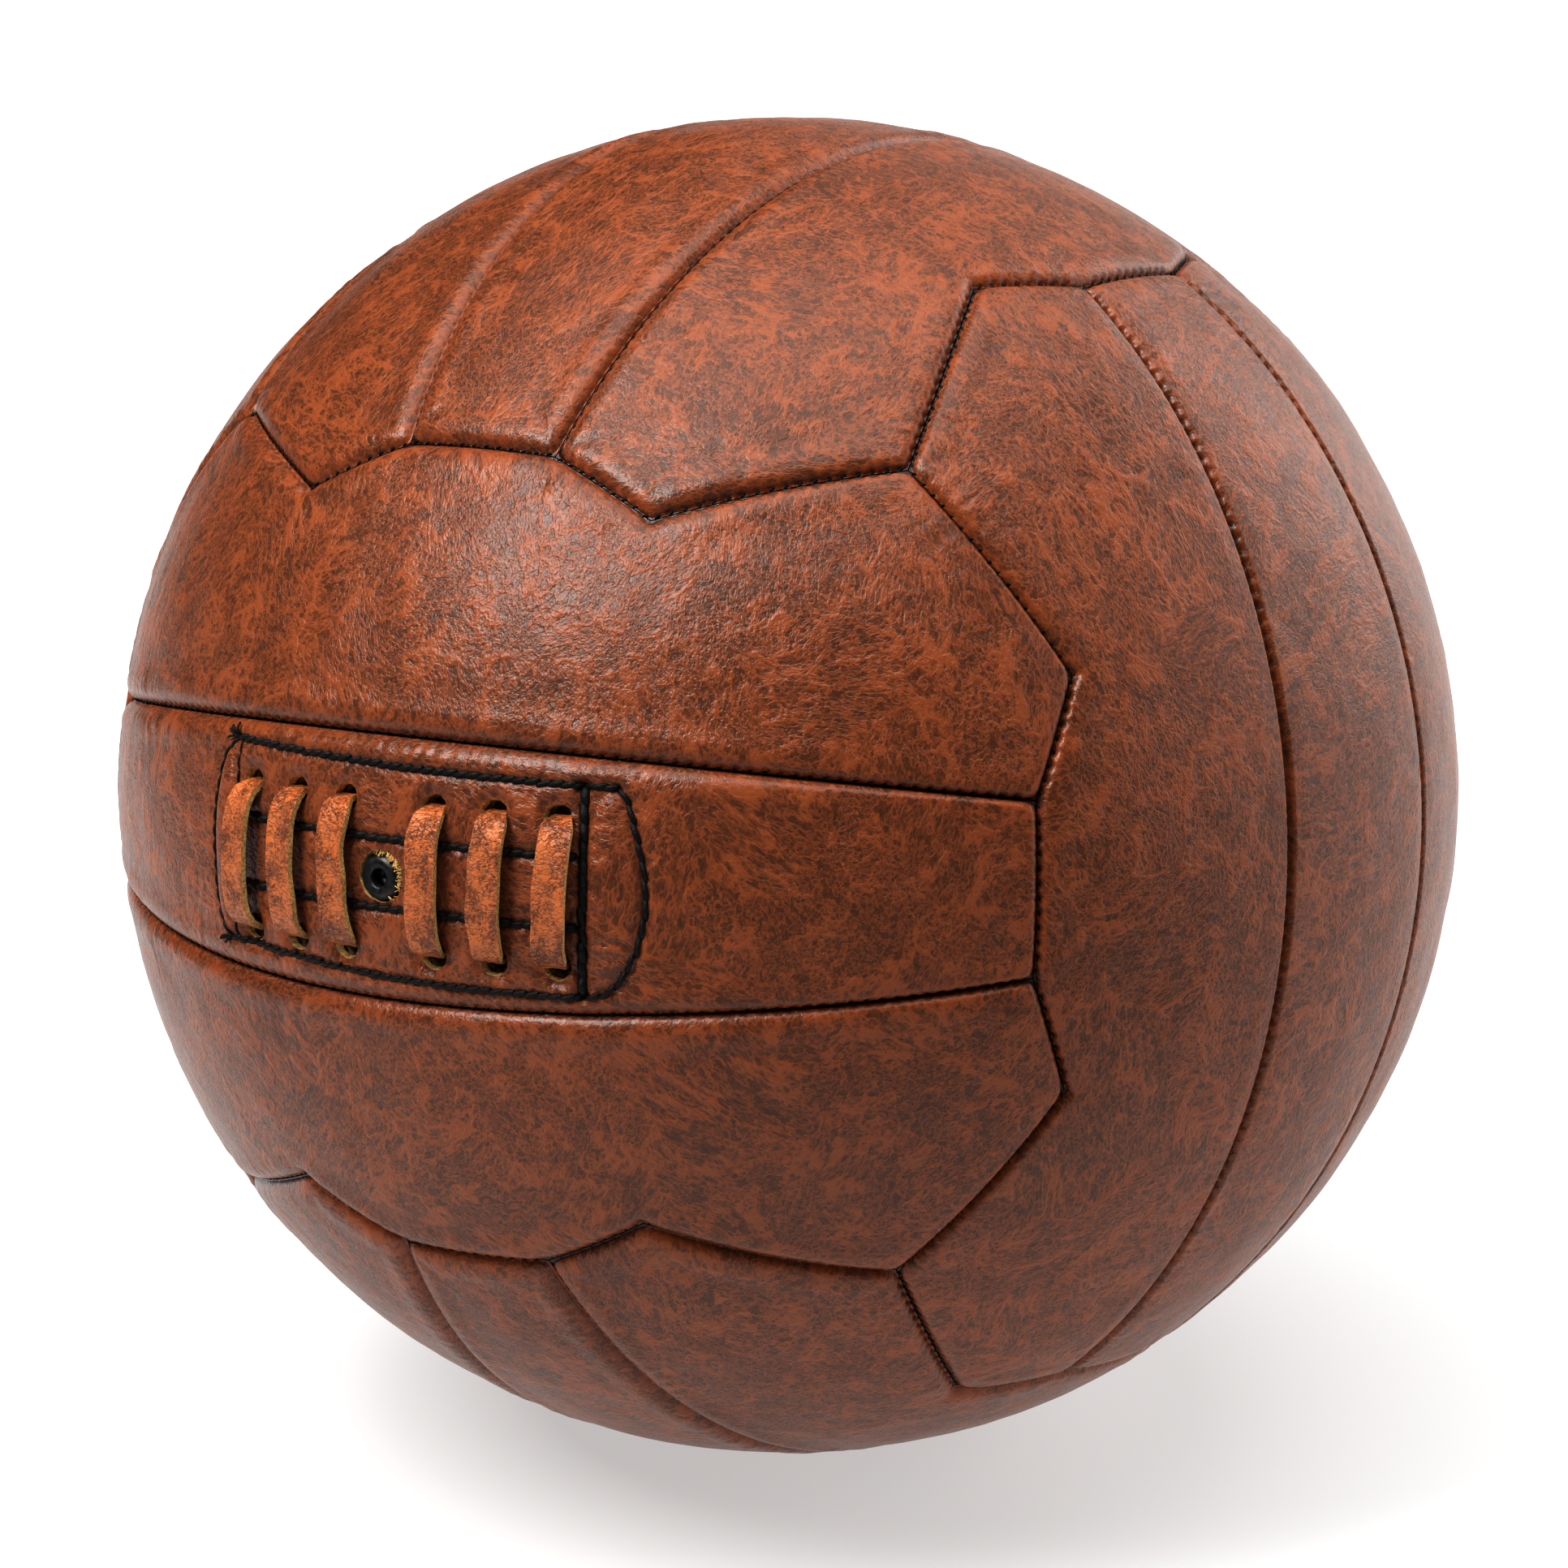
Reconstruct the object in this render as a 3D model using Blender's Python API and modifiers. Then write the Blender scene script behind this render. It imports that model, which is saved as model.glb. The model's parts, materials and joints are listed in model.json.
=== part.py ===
"""A laced, vintage-style, size 5 football of 18 stitched panels, in metres.

The ball lies on a floor with its centre at the origin. Its panels follow a cube: each of the six
faces is three strips wide, and the strips of neighbouring faces run at right angles. Everything is
laid out in the ball's own axes (front -Y, right +X, top +Z) and turned as a whole by one empty.
"""
import math

import bmesh
import bpy
from mathutils import Matrix, Vector

MM = 0.001

# The ball
BALL_RADIUS = 110 * MM
BALL_TURN_DEG = (-9.7, -5.5, -33.0)

# Panel outlines: places on the sphere, as angles from a face's centre
MIDDLE_END_ALONG = math.radians(54.0)
MIDDLE_END_ACROSS = math.radians(7.3)
POINT_ALONG = math.radians(58.0)
POINT_ACROSS = math.radians(17.3)
LONG_SEAM_BOW = math.radians(-1.3)

# Layers, from the outside in
COVER_THICKNESS = 1.6 * MM
LINING_RADIUS = 107.6 * MM
LINING_THICKNESS = 0.8 * MM
BLADDER_RADIUS = 105.3 * MM
BLADDER_MOUTH_RADIUS = 103.6 * MM
BLADDER_THICKNESS = 0.9 * MM
SEAM_HALF_GAP = 0.6 * MM
LINING_HALF_GAP = 1.6 * MM

# Threads
SEAM_THREAD_RADIUS = 0.3 * MM
SEAM_THREAD_LEVEL = 109.4 * MM
STITCH_RADIUS = 0.4 * MM
TOUCH_GAP = 0.3 * MM

# The laced mouth, measured over the front face from its centre
MOUTH_X = -1.5 * MM
MOUTH_Z = -0.6 * MM
BAR_OFFSETS = (-29.9 * MM, -19.2 * MM, -8.5 * MM, 8.5 * MM, 19.2 * MM, 29.9 * MM)
HOLE_ROW = 12.1 * MM
HOLE_RADIUS = 2.6 * MM
INNER_STITCH_ROW = 5.6 * MM
FRAME_HALF_WIDTH = 16.6 * MM
FRAME_HALF_LENGTH = 34.0 * MM
FRAME_END_DEPTH = 8.0 * MM

# The lace: a flat strap
LACE_WIDTH = 5.6 * MM
LACE_THICKNESS = 1.2 * MM
LACE_SQUEEZE = 0.65
LACE_UNDER_LEVEL = 105.6 * MM
LACE_TAIL = (4.0 * MM, 8.0 * MM)

# The tongue between the lace and the bladder
TONGUE_RADIUS = 104.9 * MM
TONGUE_THICKNESS = 0.8 * MM
TONGUE_HALF_LENGTH = 38.0 * MM
TONGUE_HALF_WIDTH = 16.5 * MM

# The valve
VALVE_X = -2.8 * MM
VALVE_Z = -1.2 * MM
VALVE_HOLE_RADIUS = 4.5 * MM
VALVE_TOP = 109.8 * MM
VALVE_RIM_RADIUS = 3.9 * MM
VALVE_RIM_DEPTH = 1.1 * MM
VALVE_NECK_RADIUS = 3.4 * MM
VALVE_MOUTH_RADIUS = 1.6 * MM
VALVE_FLANGE_RADIUS = 9.0 * MM
VALVE_FLANGE_TOP = 102.3 * MM
VALVE_FLANGE_THICKNESS = 1.0 * MM
PLUG_RADIUS = 2.1 * MM
PLUG_TOP = 108.0 * MM
PLUG_BOTTOM = 101.8 * MM
NEEDLE_RADIUS = 0.5 * MM

# Facets
OUTER_COLUMNS = (3, 2, 2, 2, 3)
OUTER_END_ROWS = (2, 3)
MIDDLE_COLUMNS = 12
MIDDLE_ROWS = 2
LACED_COLUMNS = 16
LACED_ROWS = 4
LINING_COLUMNS = (2, 1, 2, 1, 2)
LINING_END_ROWS = (1, 2)
LINING_MIDDLE_COLUMNS = 8
HOLE_SIDES = 12
TURNED_STEPS = 20
MERGE = 0.00001

FRONT, RIGHT, TOP = Vector((0, -1, 0)), Vector((1, 0, 0)), Vector((0, 0, 1))
FACES = {
    "front": (FRONT, TOP, ("upper", "lower")),
    "back": (-FRONT, TOP, ("upper", "lower")),
    "right": (RIGHT, FRONT, ("front", "back")),
    "left": (-RIGHT, FRONT, ("front", "back")),
    "top": (TOP, RIGHT, ("right", "left")),
    "bottom": (-TOP, RIGHT, ("right", "left")),
}
CORNER_NAMES = {
    (1, 1, 1): "front_right_top",
    (1, 1, -1): "front_right_bottom",
    (1, -1, 1): "front_left_top",
    (1, -1, -1): "front_left_bottom",
    (-1, 1, 1): "back_right_top",
    (-1, 1, -1): "back_right_bottom",
    (-1, -1, 1): "back_left_top",
    (-1, -1, -1): "back_left_bottom",
}
COLOURS = {
    "cover_leather": ((0.22, 0.062, 0.028), 0.45),
    "lining_textile": ((0.62, 0.58, 0.50), 0.9),
    "black_thread": ((0.012, 0.011, 0.011), 0.7),
    "lace_leather": ((0.45, 0.13, 0.03), 0.55),
    "tongue_textile": ((0.05, 0.045, 0.04), 0.9),
    "bladder_butyl": ((0.03, 0.03, 0.032), 0.5),
    "valve_rubber": ((0.02, 0.02, 0.022), 0.45),
}


def clear_scene():
    """Remove every object of the scene."""
    for old in list(bpy.data.objects):
        bpy.data.objects.remove(old, do_unlink=True)


def new_collection(name):
    """A collection linked to the scene."""
    made = bpy.data.collections.new(name)
    bpy.context.scene.collection.children.link(made)
    return made


def new_material(name):
    """A Principled material from the colour table."""
    colour, roughness = COLOURS[name]
    made = bpy.data.materials.new(name)
    made.use_nodes = True
    shader = made.node_tree.nodes["Principled BSDF"]
    shader.inputs["Base Color"].default_value = (*colour, 1)
    shader.inputs["Roughness"].default_value = roughness
    shader.inputs["Metallic"].default_value = 0
    return made


class Bench:
    """What the parts are put on: collections, materials and the empty that turns the ball."""

    def __init__(self):
        clear_scene()
        self.parts = new_collection("laced_ball")
        self.cutters = new_collection("cutters")
        self.materials = {name: new_material(name) for name in COLOURS}
        self.frame = bpy.data.objects.new("ball_frame", None)
        self.frame.rotation_euler = [math.radians(angle) for angle in BALL_TURN_DEG]
        self.parts.objects.link(self.frame)

    def add(self, name, data, material):
        """A part made from a mesh or a curve, parented to the ball's frame."""
        part = bpy.data.objects.new(name, data)
        data.materials.append(self.materials[material])
        self.parts.objects.link(part)
        part.parent = self.frame
        return part

    def add_cutter(self, name, mesh):
        """A cutter: seen as wire, and never rendered."""
        cutter = bpy.data.objects.new(name, mesh)
        self.cutters.objects.link(cutter)
        cutter.parent = self.frame
        cutter.hide_render = True
        cutter.display_type = "WIRE"
        return cutter


# Places on the sphere


def middle_end(normal, end, side):
    """Where a face's long seam meets the neighbouring face."""
    flat = normal * math.cos(MIDDLE_END_ALONG) + end * math.sin(MIDDLE_END_ALONG)
    return flat * math.cos(MIDDLE_END_ACROSS) + side * math.sin(MIDDLE_END_ACROSS)


def strip_point(normal, end, side):
    """The tip of an outer strip's pointed end."""
    flat = normal * math.cos(POINT_ALONG) + end * math.sin(POINT_ALONG)
    return flat * math.cos(POINT_ACROSS) + side * math.sin(POINT_ACROSS)


def cube_corner(*axes):
    """Where three faces meet."""
    return sum(axes, Vector()).normalized()


def arc(start, end, t, bow=None):
    """A point on the arc between two unit vectors, pushed sideways by bow at its middle."""
    point = start.slerp(end, t)
    if bow is not None:
        point = (point + bow * (4 * t * (1 - t))).normalized()
    return point


def front_place(x, z, radius):
    """A point over the front face, x to the right and z up along the ball's skin."""
    across = z / BALL_RADIUS
    along = x / BALL_RADIUS
    skin = Vector((math.sin(along), -math.cos(along), 0)) * math.cos(across)
    return (skin + TOP * math.sin(across)) * radius


def mouth_place(x, z, radius):
    """A point of the laced mouth, measured from the mouth's own centre."""
    return front_place(MOUTH_X + x, MOUTH_Z + z, radius)


# Panels


class Panel:
    """One strip's outline: four sides, each a chain of corners, over a face of the cube."""

    def __init__(self, normal, outward, middle):
        along = outward.cross(normal)
        self.bows = [outward * LONG_SEAM_BOW, None]
        low = [middle_end(normal, -along, outward), middle_end(normal, along, outward)]
        if middle:
            self.bows = [outward * -LONG_SEAM_BOW, outward * LONG_SEAM_BOW]
            self.top = low
            self.bottom = [middle_end(normal, -along, -outward), middle_end(normal, along, -outward)]
            self.left = [self.bottom[0], self.top[0]]
            self.right = [self.bottom[1], self.top[1]]
            return
        half = [middle_end(outward, normal, along), strip_point(outward, normal, along)]
        far_half = [strip_point(outward, normal, -along), middle_end(outward, normal, -along)]
        ends = [cube_corner(normal, outward, -along), cube_corner(normal, outward, along)]
        self.bottom = low
        self.top = [ends[0], *far_half, *half, ends[1]]
        self.left = [low[0], strip_point(normal, -along, outward), ends[0]]
        self.right = [low[1], strip_point(normal, along, outward), ends[1]]

    def inset(self, distance):
        """Move every side inwards over the sphere, so that a seam's gap is left open."""
        loop = self.bottom[:-1] + self.right[:-1] + self.top[:0:-1] + self.left[:0:-1]
        moved = []
        for i, here in enumerate(loop):
            before = loop[i - 1].cross(here).normalized()
            after = here.cross(loop[(i + 1) % len(loop)]).normalized()
            mitre = (before + after) / (1 + before.dot(after))
            moved.append((here + mitre * (distance / BALL_RADIUS)).normalized())
        spans = [len(side) - 1 for side in (self.bottom, self.right, self.top, self.left)]
        starts = [sum(spans[:i]) for i in range(len(spans))]
        moved.append(moved[0])
        cut = [moved[first:first + span + 1] for first, span in zip(starts, spans, strict=True)]
        self.bottom, self.right = cut[0], cut[1]
        self.top, self.left = cut[2][::-1], cut[3][::-1]
        return self

    def sheet(self, columns, rows, radius):
        """The panel as an open grid of faces on the sphere."""
        count_u, count_v = sum(columns), sum(rows)
        bottom = side_points(self.bottom, spread(columns, self.bottom), self.bows[0])
        top = side_points(self.top, spread(columns, self.top), self.bows[1])
        left = side_points(self.left, spread(rows, self.left), None)
        right = side_points(self.right, spread(rows, self.right), None)
        grid = bmesh.new()
        bmesh.ops.create_grid(grid, x_segments=count_u, y_segments=count_v, size=1)
        for vertex in grid.verts:
            u, v = (vertex.co.x + 1) / 2, (vertex.co.y + 1) / 2
            i, j = round(u * count_u), round(v * count_v)
            between_rails = bottom[i] * (1 - v) + top[i] * v
            between_ends = left[j] * (1 - u) + right[j] * u
            at_low = bottom[0] * (1 - u) + bottom[-1] * u
            at_high = top[0] * (1 - u) + top[-1] * u
            flat = between_rails + between_ends - at_low * (1 - v) - at_high * v
            vertex.co = flat.normalized() * radius
        return grid


def spread(counts, corners):
    """How many facets each leg of a side gets: all of them on a side with one leg."""
    return counts if len(corners) == len(counts) + 1 else (sum(counts),)


def side_points(corners, counts, bow):
    """Points along a side: each leg is divided evenly."""
    points = [corners[0]]
    for start, end, count in zip(corners[:-1], corners[1:], counts, strict=True):
        points += [arc(start, end, step / count, bow) for step in range(1, count + 1)]
    return points


def to_mesh(name, shape):
    """Turn a bmesh into a mesh shaded smooth."""
    mesh = bpy.data.meshes.new(name)
    shape.to_mesh(mesh)
    shape.free()
    mesh.shade_smooth()
    return mesh


def thicken(part, thickness):
    """Give an open sheet its thickness, inwards."""
    shell = part.modifiers.new("thickness", "SOLIDIFY")
    shell.thickness = thickness
    shell.offset = -1


def cut_with(part, cutter):
    """Cut a part with a cutter."""
    cut = part.modifiers.new("cut_" + cutter.name, "BOOLEAN")
    cut.operation = "DIFFERENCE"
    cut.object = cutter


def panel_list():
    """Every panel as (name, normal, outward, whether it is a middle strip)."""
    for face, (normal, across, sides) in FACES.items():
        yield f"{face}_middle", normal, across, True
        yield f"{face}_{sides[0]}", normal, across, False
        yield f"{face}_{sides[1]}", normal, -across, False


def add_covers(bench):
    """The 18 cover panels."""
    for name, normal, outward, middle in panel_list():
        columns, rows = OUTER_COLUMNS, OUTER_END_ROWS
        if middle:
            laced = name == "front_middle"
            columns = (LACED_COLUMNS if laced else MIDDLE_COLUMNS,)
            rows = (LACED_ROWS if laced else MIDDLE_ROWS,)
        outline = Panel(normal, outward, middle).inset(SEAM_HALF_GAP)
        mesh = to_mesh(name, outline.sheet(columns, rows, BALL_RADIUS))
        thicken(bench.add("cover_" + name, mesh, "cover_leather"), COVER_THICKNESS)


def add_linings(bench):
    """The 18 textile linings, one behind each cover panel."""
    for name, normal, outward, middle in panel_list():
        columns, rows = LINING_COLUMNS, LINING_END_ROWS
        if middle:
            laced = name == "front_middle"
            columns = (LACED_COLUMNS if laced else LINING_MIDDLE_COLUMNS,)
            rows = (LACED_ROWS if laced else MIDDLE_ROWS,)
        outline = Panel(normal, outward, middle).inset(LINING_HALF_GAP)
        mesh = to_mesh(name, outline.sheet(columns, rows, LINING_RADIUS))
        thicken(bench.add("lining_" + name, mesh, "lining_textile"), LINING_THICKNESS)


# Threads


def add_wire(bench, name, points, radius, material, closed=False):
    """A thread: a curve along points, with a round bevel and filled caps."""
    curve = bpy.data.curves.new(name, "CURVE")
    curve.dimensions = "3D"
    curve.bevel_depth = radius
    curve.bevel_resolution = 0
    curve.use_fill_caps = True
    line = curve.splines.new("POLY")
    line.points.add(len(points) - 1)
    for knot, place in zip(line.points, points, strict=True):
        knot.co = (*place, 1)
    line.use_cyclic_u = closed
    return bench.add(name, curve, material)


def add_ring_threads(bench):
    """One closed seam thread round each middle strip."""
    for face, (normal, across, _) in FACES.items():
        outline = Panel(normal, across, True)
        rails = [
            side_points(outline.bottom, (MIDDLE_COLUMNS,), outline.bows[0]),
            side_points(outline.right, (MIDDLE_ROWS,), None),
            side_points(outline.top, (MIDDLE_COLUMNS,), outline.bows[1])[::-1],
            side_points(outline.left, (MIDDLE_ROWS,), None)[::-1],
        ]
        loop = [point * SEAM_THREAD_LEVEL for rail in rails for point in rail[:-1]]
        add_wire(bench, f"thread_ring_{face}", loop, SEAM_THREAD_RADIUS, "black_thread", closed=True)


def grow_bar(shape, face, before, stations):
    """Extrude a four-sided face from station to station: each is (centre, half width, half depth)."""
    for station in stations:
        face = bmesh.ops.extrude_discrete_faces(shape, faces=[face])["faces"][0]
        for vertex in face.verts:
            offset = vertex.co - before[0]
            wide = math.copysign(1, offset.dot(before[1]))
            deep = math.copysign(1, offset.dot(before[2]))
            vertex.co = station[0] + station[1] * wide + station[2] * deep
        before = station


def thread_stations(places):
    """Stations of a thread that runs over the ball through a chain of places."""
    stations = []
    for i, place in enumerate(places):
        ahead = places[min(i + 1, len(places) - 1)] - places[max(i - 1, 0)]
        up = place.normalized() * (SEAM_THREAD_RADIUS * math.sqrt(0.5))
        stations.append((place, up.cross(ahead.normalized()), up))
    return stations


def axes_matrix(first, third):
    """A rotation whose first and third axes are the given unit vectors."""
    return Matrix((first, third.cross(first), third)).transposed().to_4x4()


def add_star_threads(bench):
    """At each cube corner, one thread with three legs, each along two seams."""
    stop_short = (2 * SEAM_THREAD_RADIUS + TOUCH_GAP) / BALL_RADIUS
    for signs, name in CORNER_NAMES.items():
        front, right, top = (axis * sign for axis, sign in zip((FRONT, RIGHT, TOP), signs, strict=True))
        corner = cube_corner(front, right, top)
        hub = corner * SEAM_THREAD_LEVEL
        star = bmesh.new()
        size = SEAM_THREAD_RADIUS
        bmesh.ops.create_cone(star, cap_ends=True, segments=3, radius1=size, radius2=size, depth=size)
        sides = [face for face in star.faces if len(face.verts) == 4]
        out_of_side = sides[0].calc_center_median().normalized()
        first_leg = strip_point(front, right, top)
        first_leg = (first_leg - corner * corner.dot(first_leg)).normalized()
        turn = axes_matrix(first_leg, corner) @ axes_matrix(out_of_side, TOP).transposed()
        bmesh.ops.transform(star, matrix=Matrix.Translation(hub) @ turn, verts=star.verts)
        for normal, end, side in ((front, right, top), (right, top, front), (top, front, right)):
            tip = middle_end(normal, end, side)
            point = strip_point(normal, end, side)
            stop = arc(point, tip, 1 - stop_short / tip.angle(point))
            leg = side_points([corner, point, stop], OUTER_END_ROWS[::-1], None)
            stations = thread_stations([place * SEAM_THREAD_LEVEL for place in leg])
            ahead = (stations[1][0] - hub).normalized()
            face = max(sides, key=lambda one: (one.calc_center_median() - hub).dot(ahead))
            sides.remove(face)
            start = (face.calc_center_median(), stations[0][1], stations[0][2])
            grow_bar(star, face, start, stations[1:])
        bench.add(f"thread_star_{name}", to_mesh(name, star), "black_thread")


def add_topstitching(bench):
    """The stitched frame of the mouth, its two end lines and its two inner lines."""
    level = BALL_RADIUS + TOUCH_GAP + STITCH_RADIUS
    clear = 2 * STITCH_RADIUS + TOUCH_GAP
    long_steps, end_steps, line_steps = 10, 8, 6

    def line(name, start, end):
        ends = (Vector(start), Vector(end))
        flat = [ends[0].lerp(ends[1], step / line_steps) for step in range(line_steps + 1)]
        points = [mouth_place(place.x, place.y, level) for place in flat]
        add_wire(bench, name, points, STITCH_RADIUS, "black_thread")

    frame = []
    for sign in (1, -1):
        for step in range(long_steps):
            x = sign * FRAME_HALF_LENGTH * (2 * step / long_steps - 1)
            frame.append((x, sign * -FRAME_HALF_WIDTH))
        for step in range(end_steps):
            turn = math.pi * step / end_steps - math.pi / 2
            x = FRAME_HALF_LENGTH + FRAME_END_DEPTH * math.cos(turn)
            frame.append((sign * x, sign * FRAME_HALF_WIDTH * math.sin(turn)))
    loop = [mouth_place(x, z, level) for x, z in frame]
    add_wire(bench, "stitch_frame", loop, STITCH_RADIUS, "black_thread", closed=True)
    for name, side in (("right", 1), ("left", -1)):
        x, reach = side * FRAME_HALF_LENGTH, FRAME_HALF_WIDTH - clear
        line(f"stitch_end_{name}", (x, -reach), (x, reach))
    for name, side in (("upper", 1), ("lower", -1)):
        z, reach = side * INNER_STITCH_ROW, FRAME_HALF_LENGTH - clear
        line(f"stitch_inner_{name}", (-reach, z), (reach, z))


# The lace


def lace_route():
    """The strap's centre line as (x, z, radius, scale): bars outside, slanting runs inside.

    Before the valve each bar runs down from the upper row. The run that passes the valve stays
    below it, so after it each bar runs up.
    """
    under_z = 10.4 * MM
    dive = [
        (9.9 * MM, 111.3 * MM, 1.0),
        (11.4 * MM, 110.3 * MM, LACE_SQUEEZE),
        (HOLE_ROW, 109.0 * MM, LACE_SQUEEZE),
        (HOLE_ROW, 106.6 * MM, LACE_SQUEEZE),
        (under_z, LACE_UNDER_LEVEL, LACE_SQUEEZE),
    ]
    arch = [(7.6 * MM, 112.1 * MM), (3.8 * MM, 112.5 * MM), (0, 112.6 * MM)]
    past_valve = [(-5.0 * MM, -8.2 * MM), (0, -7.6 * MM), (5.0 * MM, -8.2 * MM)]
    half = len(BAR_OFFSETS) // 2
    tail_x, tail_z = LACE_TAIL

    def under(x, z):
        return (x, z, LACE_UNDER_LEVEL, LACE_SQUEEZE)

    route = [under(BAR_OFFSETS[0] - tail_x, under_z - tail_z)]
    for number, x in enumerate(BAR_OFFSETS):
        start = 1 if number < half else -1
        if number == half:
            route += [under(*place) for place in past_valve]
        elif number:
            before = BAR_OFFSETS[number - 1]
            for share in (0.25, 0.5, 0.75):
                z = start * under_z * (2 * share - 1)
                route.append(under(before + (x - before) * share, z))
        route += [(x, start * z, radius, scale) for z, radius, scale in reversed(dive)]
        route += [(x, start * z, radius, 1.0) for z, radius in arch]
        route += [(x, -start * z, radius, 1.0) for z, radius in reversed(arch[:-1])]
        route += [(x, -start * z, radius, scale) for z, radius, scale in dive]
    route.append(under(BAR_OFFSETS[-1] + tail_x, under_z - tail_z))
    return route


def add_lace(bench):
    """One flat leather strap, threaded through all twelve holes."""
    route = lace_route()
    places = [mouth_place(x, z, radius) for x, z, radius, _ in route]
    stations = []
    steep = 0.7
    wide = RIGHT
    for i, (_, _, _, scale) in enumerate(route):
        ahead = (places[min(i + 1, len(route) - 1)] - places[max(i - 1, 0)]).normalized()
        up = places[i].normalized()
        side = up.cross(ahead) if abs(up.dot(ahead)) < steep else TOP.cross(up)
        side = (side - ahead * side.dot(ahead)).normalized()
        wide = side if side.dot(wide) > 0 else -side
        deep = wide.cross(ahead) * (LACE_THICKNESS / 2 * scale)
        stations.append((places[i], wide * (LACE_WIDTH / 2 * scale), deep))
    strap = bmesh.new()
    bmesh.ops.create_cube(strap, size=2)
    for vertex in strap.verts:
        corner = vertex.co.copy()
        centre, across, up = stations[0] if corner.y < 0 else stations[1]
        vertex.co = centre + across * corner.x + up * corner.z
    end = min(strap.faces, key=lambda face: (face.calc_center_median() - places[1]).length)
    grow_bar(strap, end, stations[1], stations[2:])
    bmesh.ops.recalc_face_normals(strap, faces=strap.faces)
    bench.add("lace", to_mesh("lace", strap), "lace_leather")


# The mouth's holes, the tongue, the bladder and the valve


def radial_turn(place):
    """The rotation that takes +Z to the outward direction at a place."""
    return place.to_track_quat("Z", "Y")


def add_hole_cutter(bench, name, place, radius):
    """A round cutter through every layer at a place on the skin."""
    shape = bmesh.new()
    bmesh.ops.create_cone(
        shape, cap_ends=True, segments=HOLE_SIDES, radius1=radius, radius2=radius, depth=24 * MM
    )
    cutter = bench.add_cutter(name, to_mesh(name, shape))
    cutter.location = place
    cutter.rotation_mode = "QUATERNION"
    cutter.rotation_quaternion = radial_turn(place)
    return cutter


def cut_mouth(bench):
    """Punch the lace holes and the valve hole."""
    cover = bpy.data.objects["cover_front_middle"]
    lining = bpy.data.objects["lining_front_middle"]
    tongue = bpy.data.objects["mouth_tongue"]
    for number, x in enumerate(BAR_OFFSETS, start=1):
        for row, z in (("upper", HOLE_ROW), ("lower", -HOLE_ROW)):
            place = mouth_place(x, z, BALL_RADIUS)
            cutter = add_hole_cutter(bench, f"hole_{row}_{number}", place, HOLE_RADIUS)
            cut_with(cover, cutter)
            cut_with(lining, cutter)
    place = front_place(VALVE_X, VALVE_Z, BALL_RADIUS)
    cutter = add_hole_cutter(bench, "hole_valve", place, VALVE_HOLE_RADIUS)
    for part in (cover, lining, tongue):
        cut_with(part, cutter)


def add_tongue(bench):
    """The patch that keeps the lace off the bladder."""
    columns, rows = 10, 4
    grid = bmesh.new()
    bmesh.ops.create_grid(grid, x_segments=columns, y_segments=rows, size=1)
    for vertex in grid.verts:
        x, z = vertex.co.x * TONGUE_HALF_LENGTH, vertex.co.y * TONGUE_HALF_WIDTH
        vertex.co = mouth_place(x, z, TONGUE_RADIUS)
    tongue = bench.add("mouth_tongue", to_mesh("mouth_tongue", grid), "tongue_textile")
    thicken(tongue, TONGUE_THICKNESS)


def add_turned(bench, name, profile, material, place):
    """A solid or sheet turned from a profile of (distance from the axis, height) points."""
    line = bmesh.new()
    knots = [line.verts.new((distance, 0, height)) for distance, height in profile]
    for first, second in zip(knots, knots[1:]):
        line.edges.new((first, second))
    part = bench.add(name, to_mesh(name, line), material)
    screw = part.modifiers.new("turn", "SCREW")
    screw.steps = TURNED_STEPS
    screw.render_steps = TURNED_STEPS
    screw.use_merge_vertices = True
    screw.merge_threshold = MERGE
    part.rotation_mode = "QUATERNION"
    part.rotation_quaternion = radial_turn(place)
    return part


def add_bladder(bench, place):
    """The inflated bladder: a sphere, pressed in behind the mouth, with a hole for the valve."""
    rings, pressed_rings = 14, 3
    hole = math.asin((VALVE_NECK_RADIUS + TOUCH_GAP) / BLADDER_MOUTH_RADIUS)
    profile = []
    for ring in range(rings + 1):
        turn = hole + (math.pi - hole) * ring / rings
        radius = BLADDER_MOUTH_RADIUS if ring < pressed_rings else BLADDER_RADIUS
        profile.append((radius * math.sin(turn), radius * math.cos(turn)))
    profile[-1] = (0, -BLADDER_RADIUS)
    bladder = add_turned(bench, "bladder", profile, "bladder_butyl", place)
    thicken(bladder, BLADDER_THICKNESS)


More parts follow.
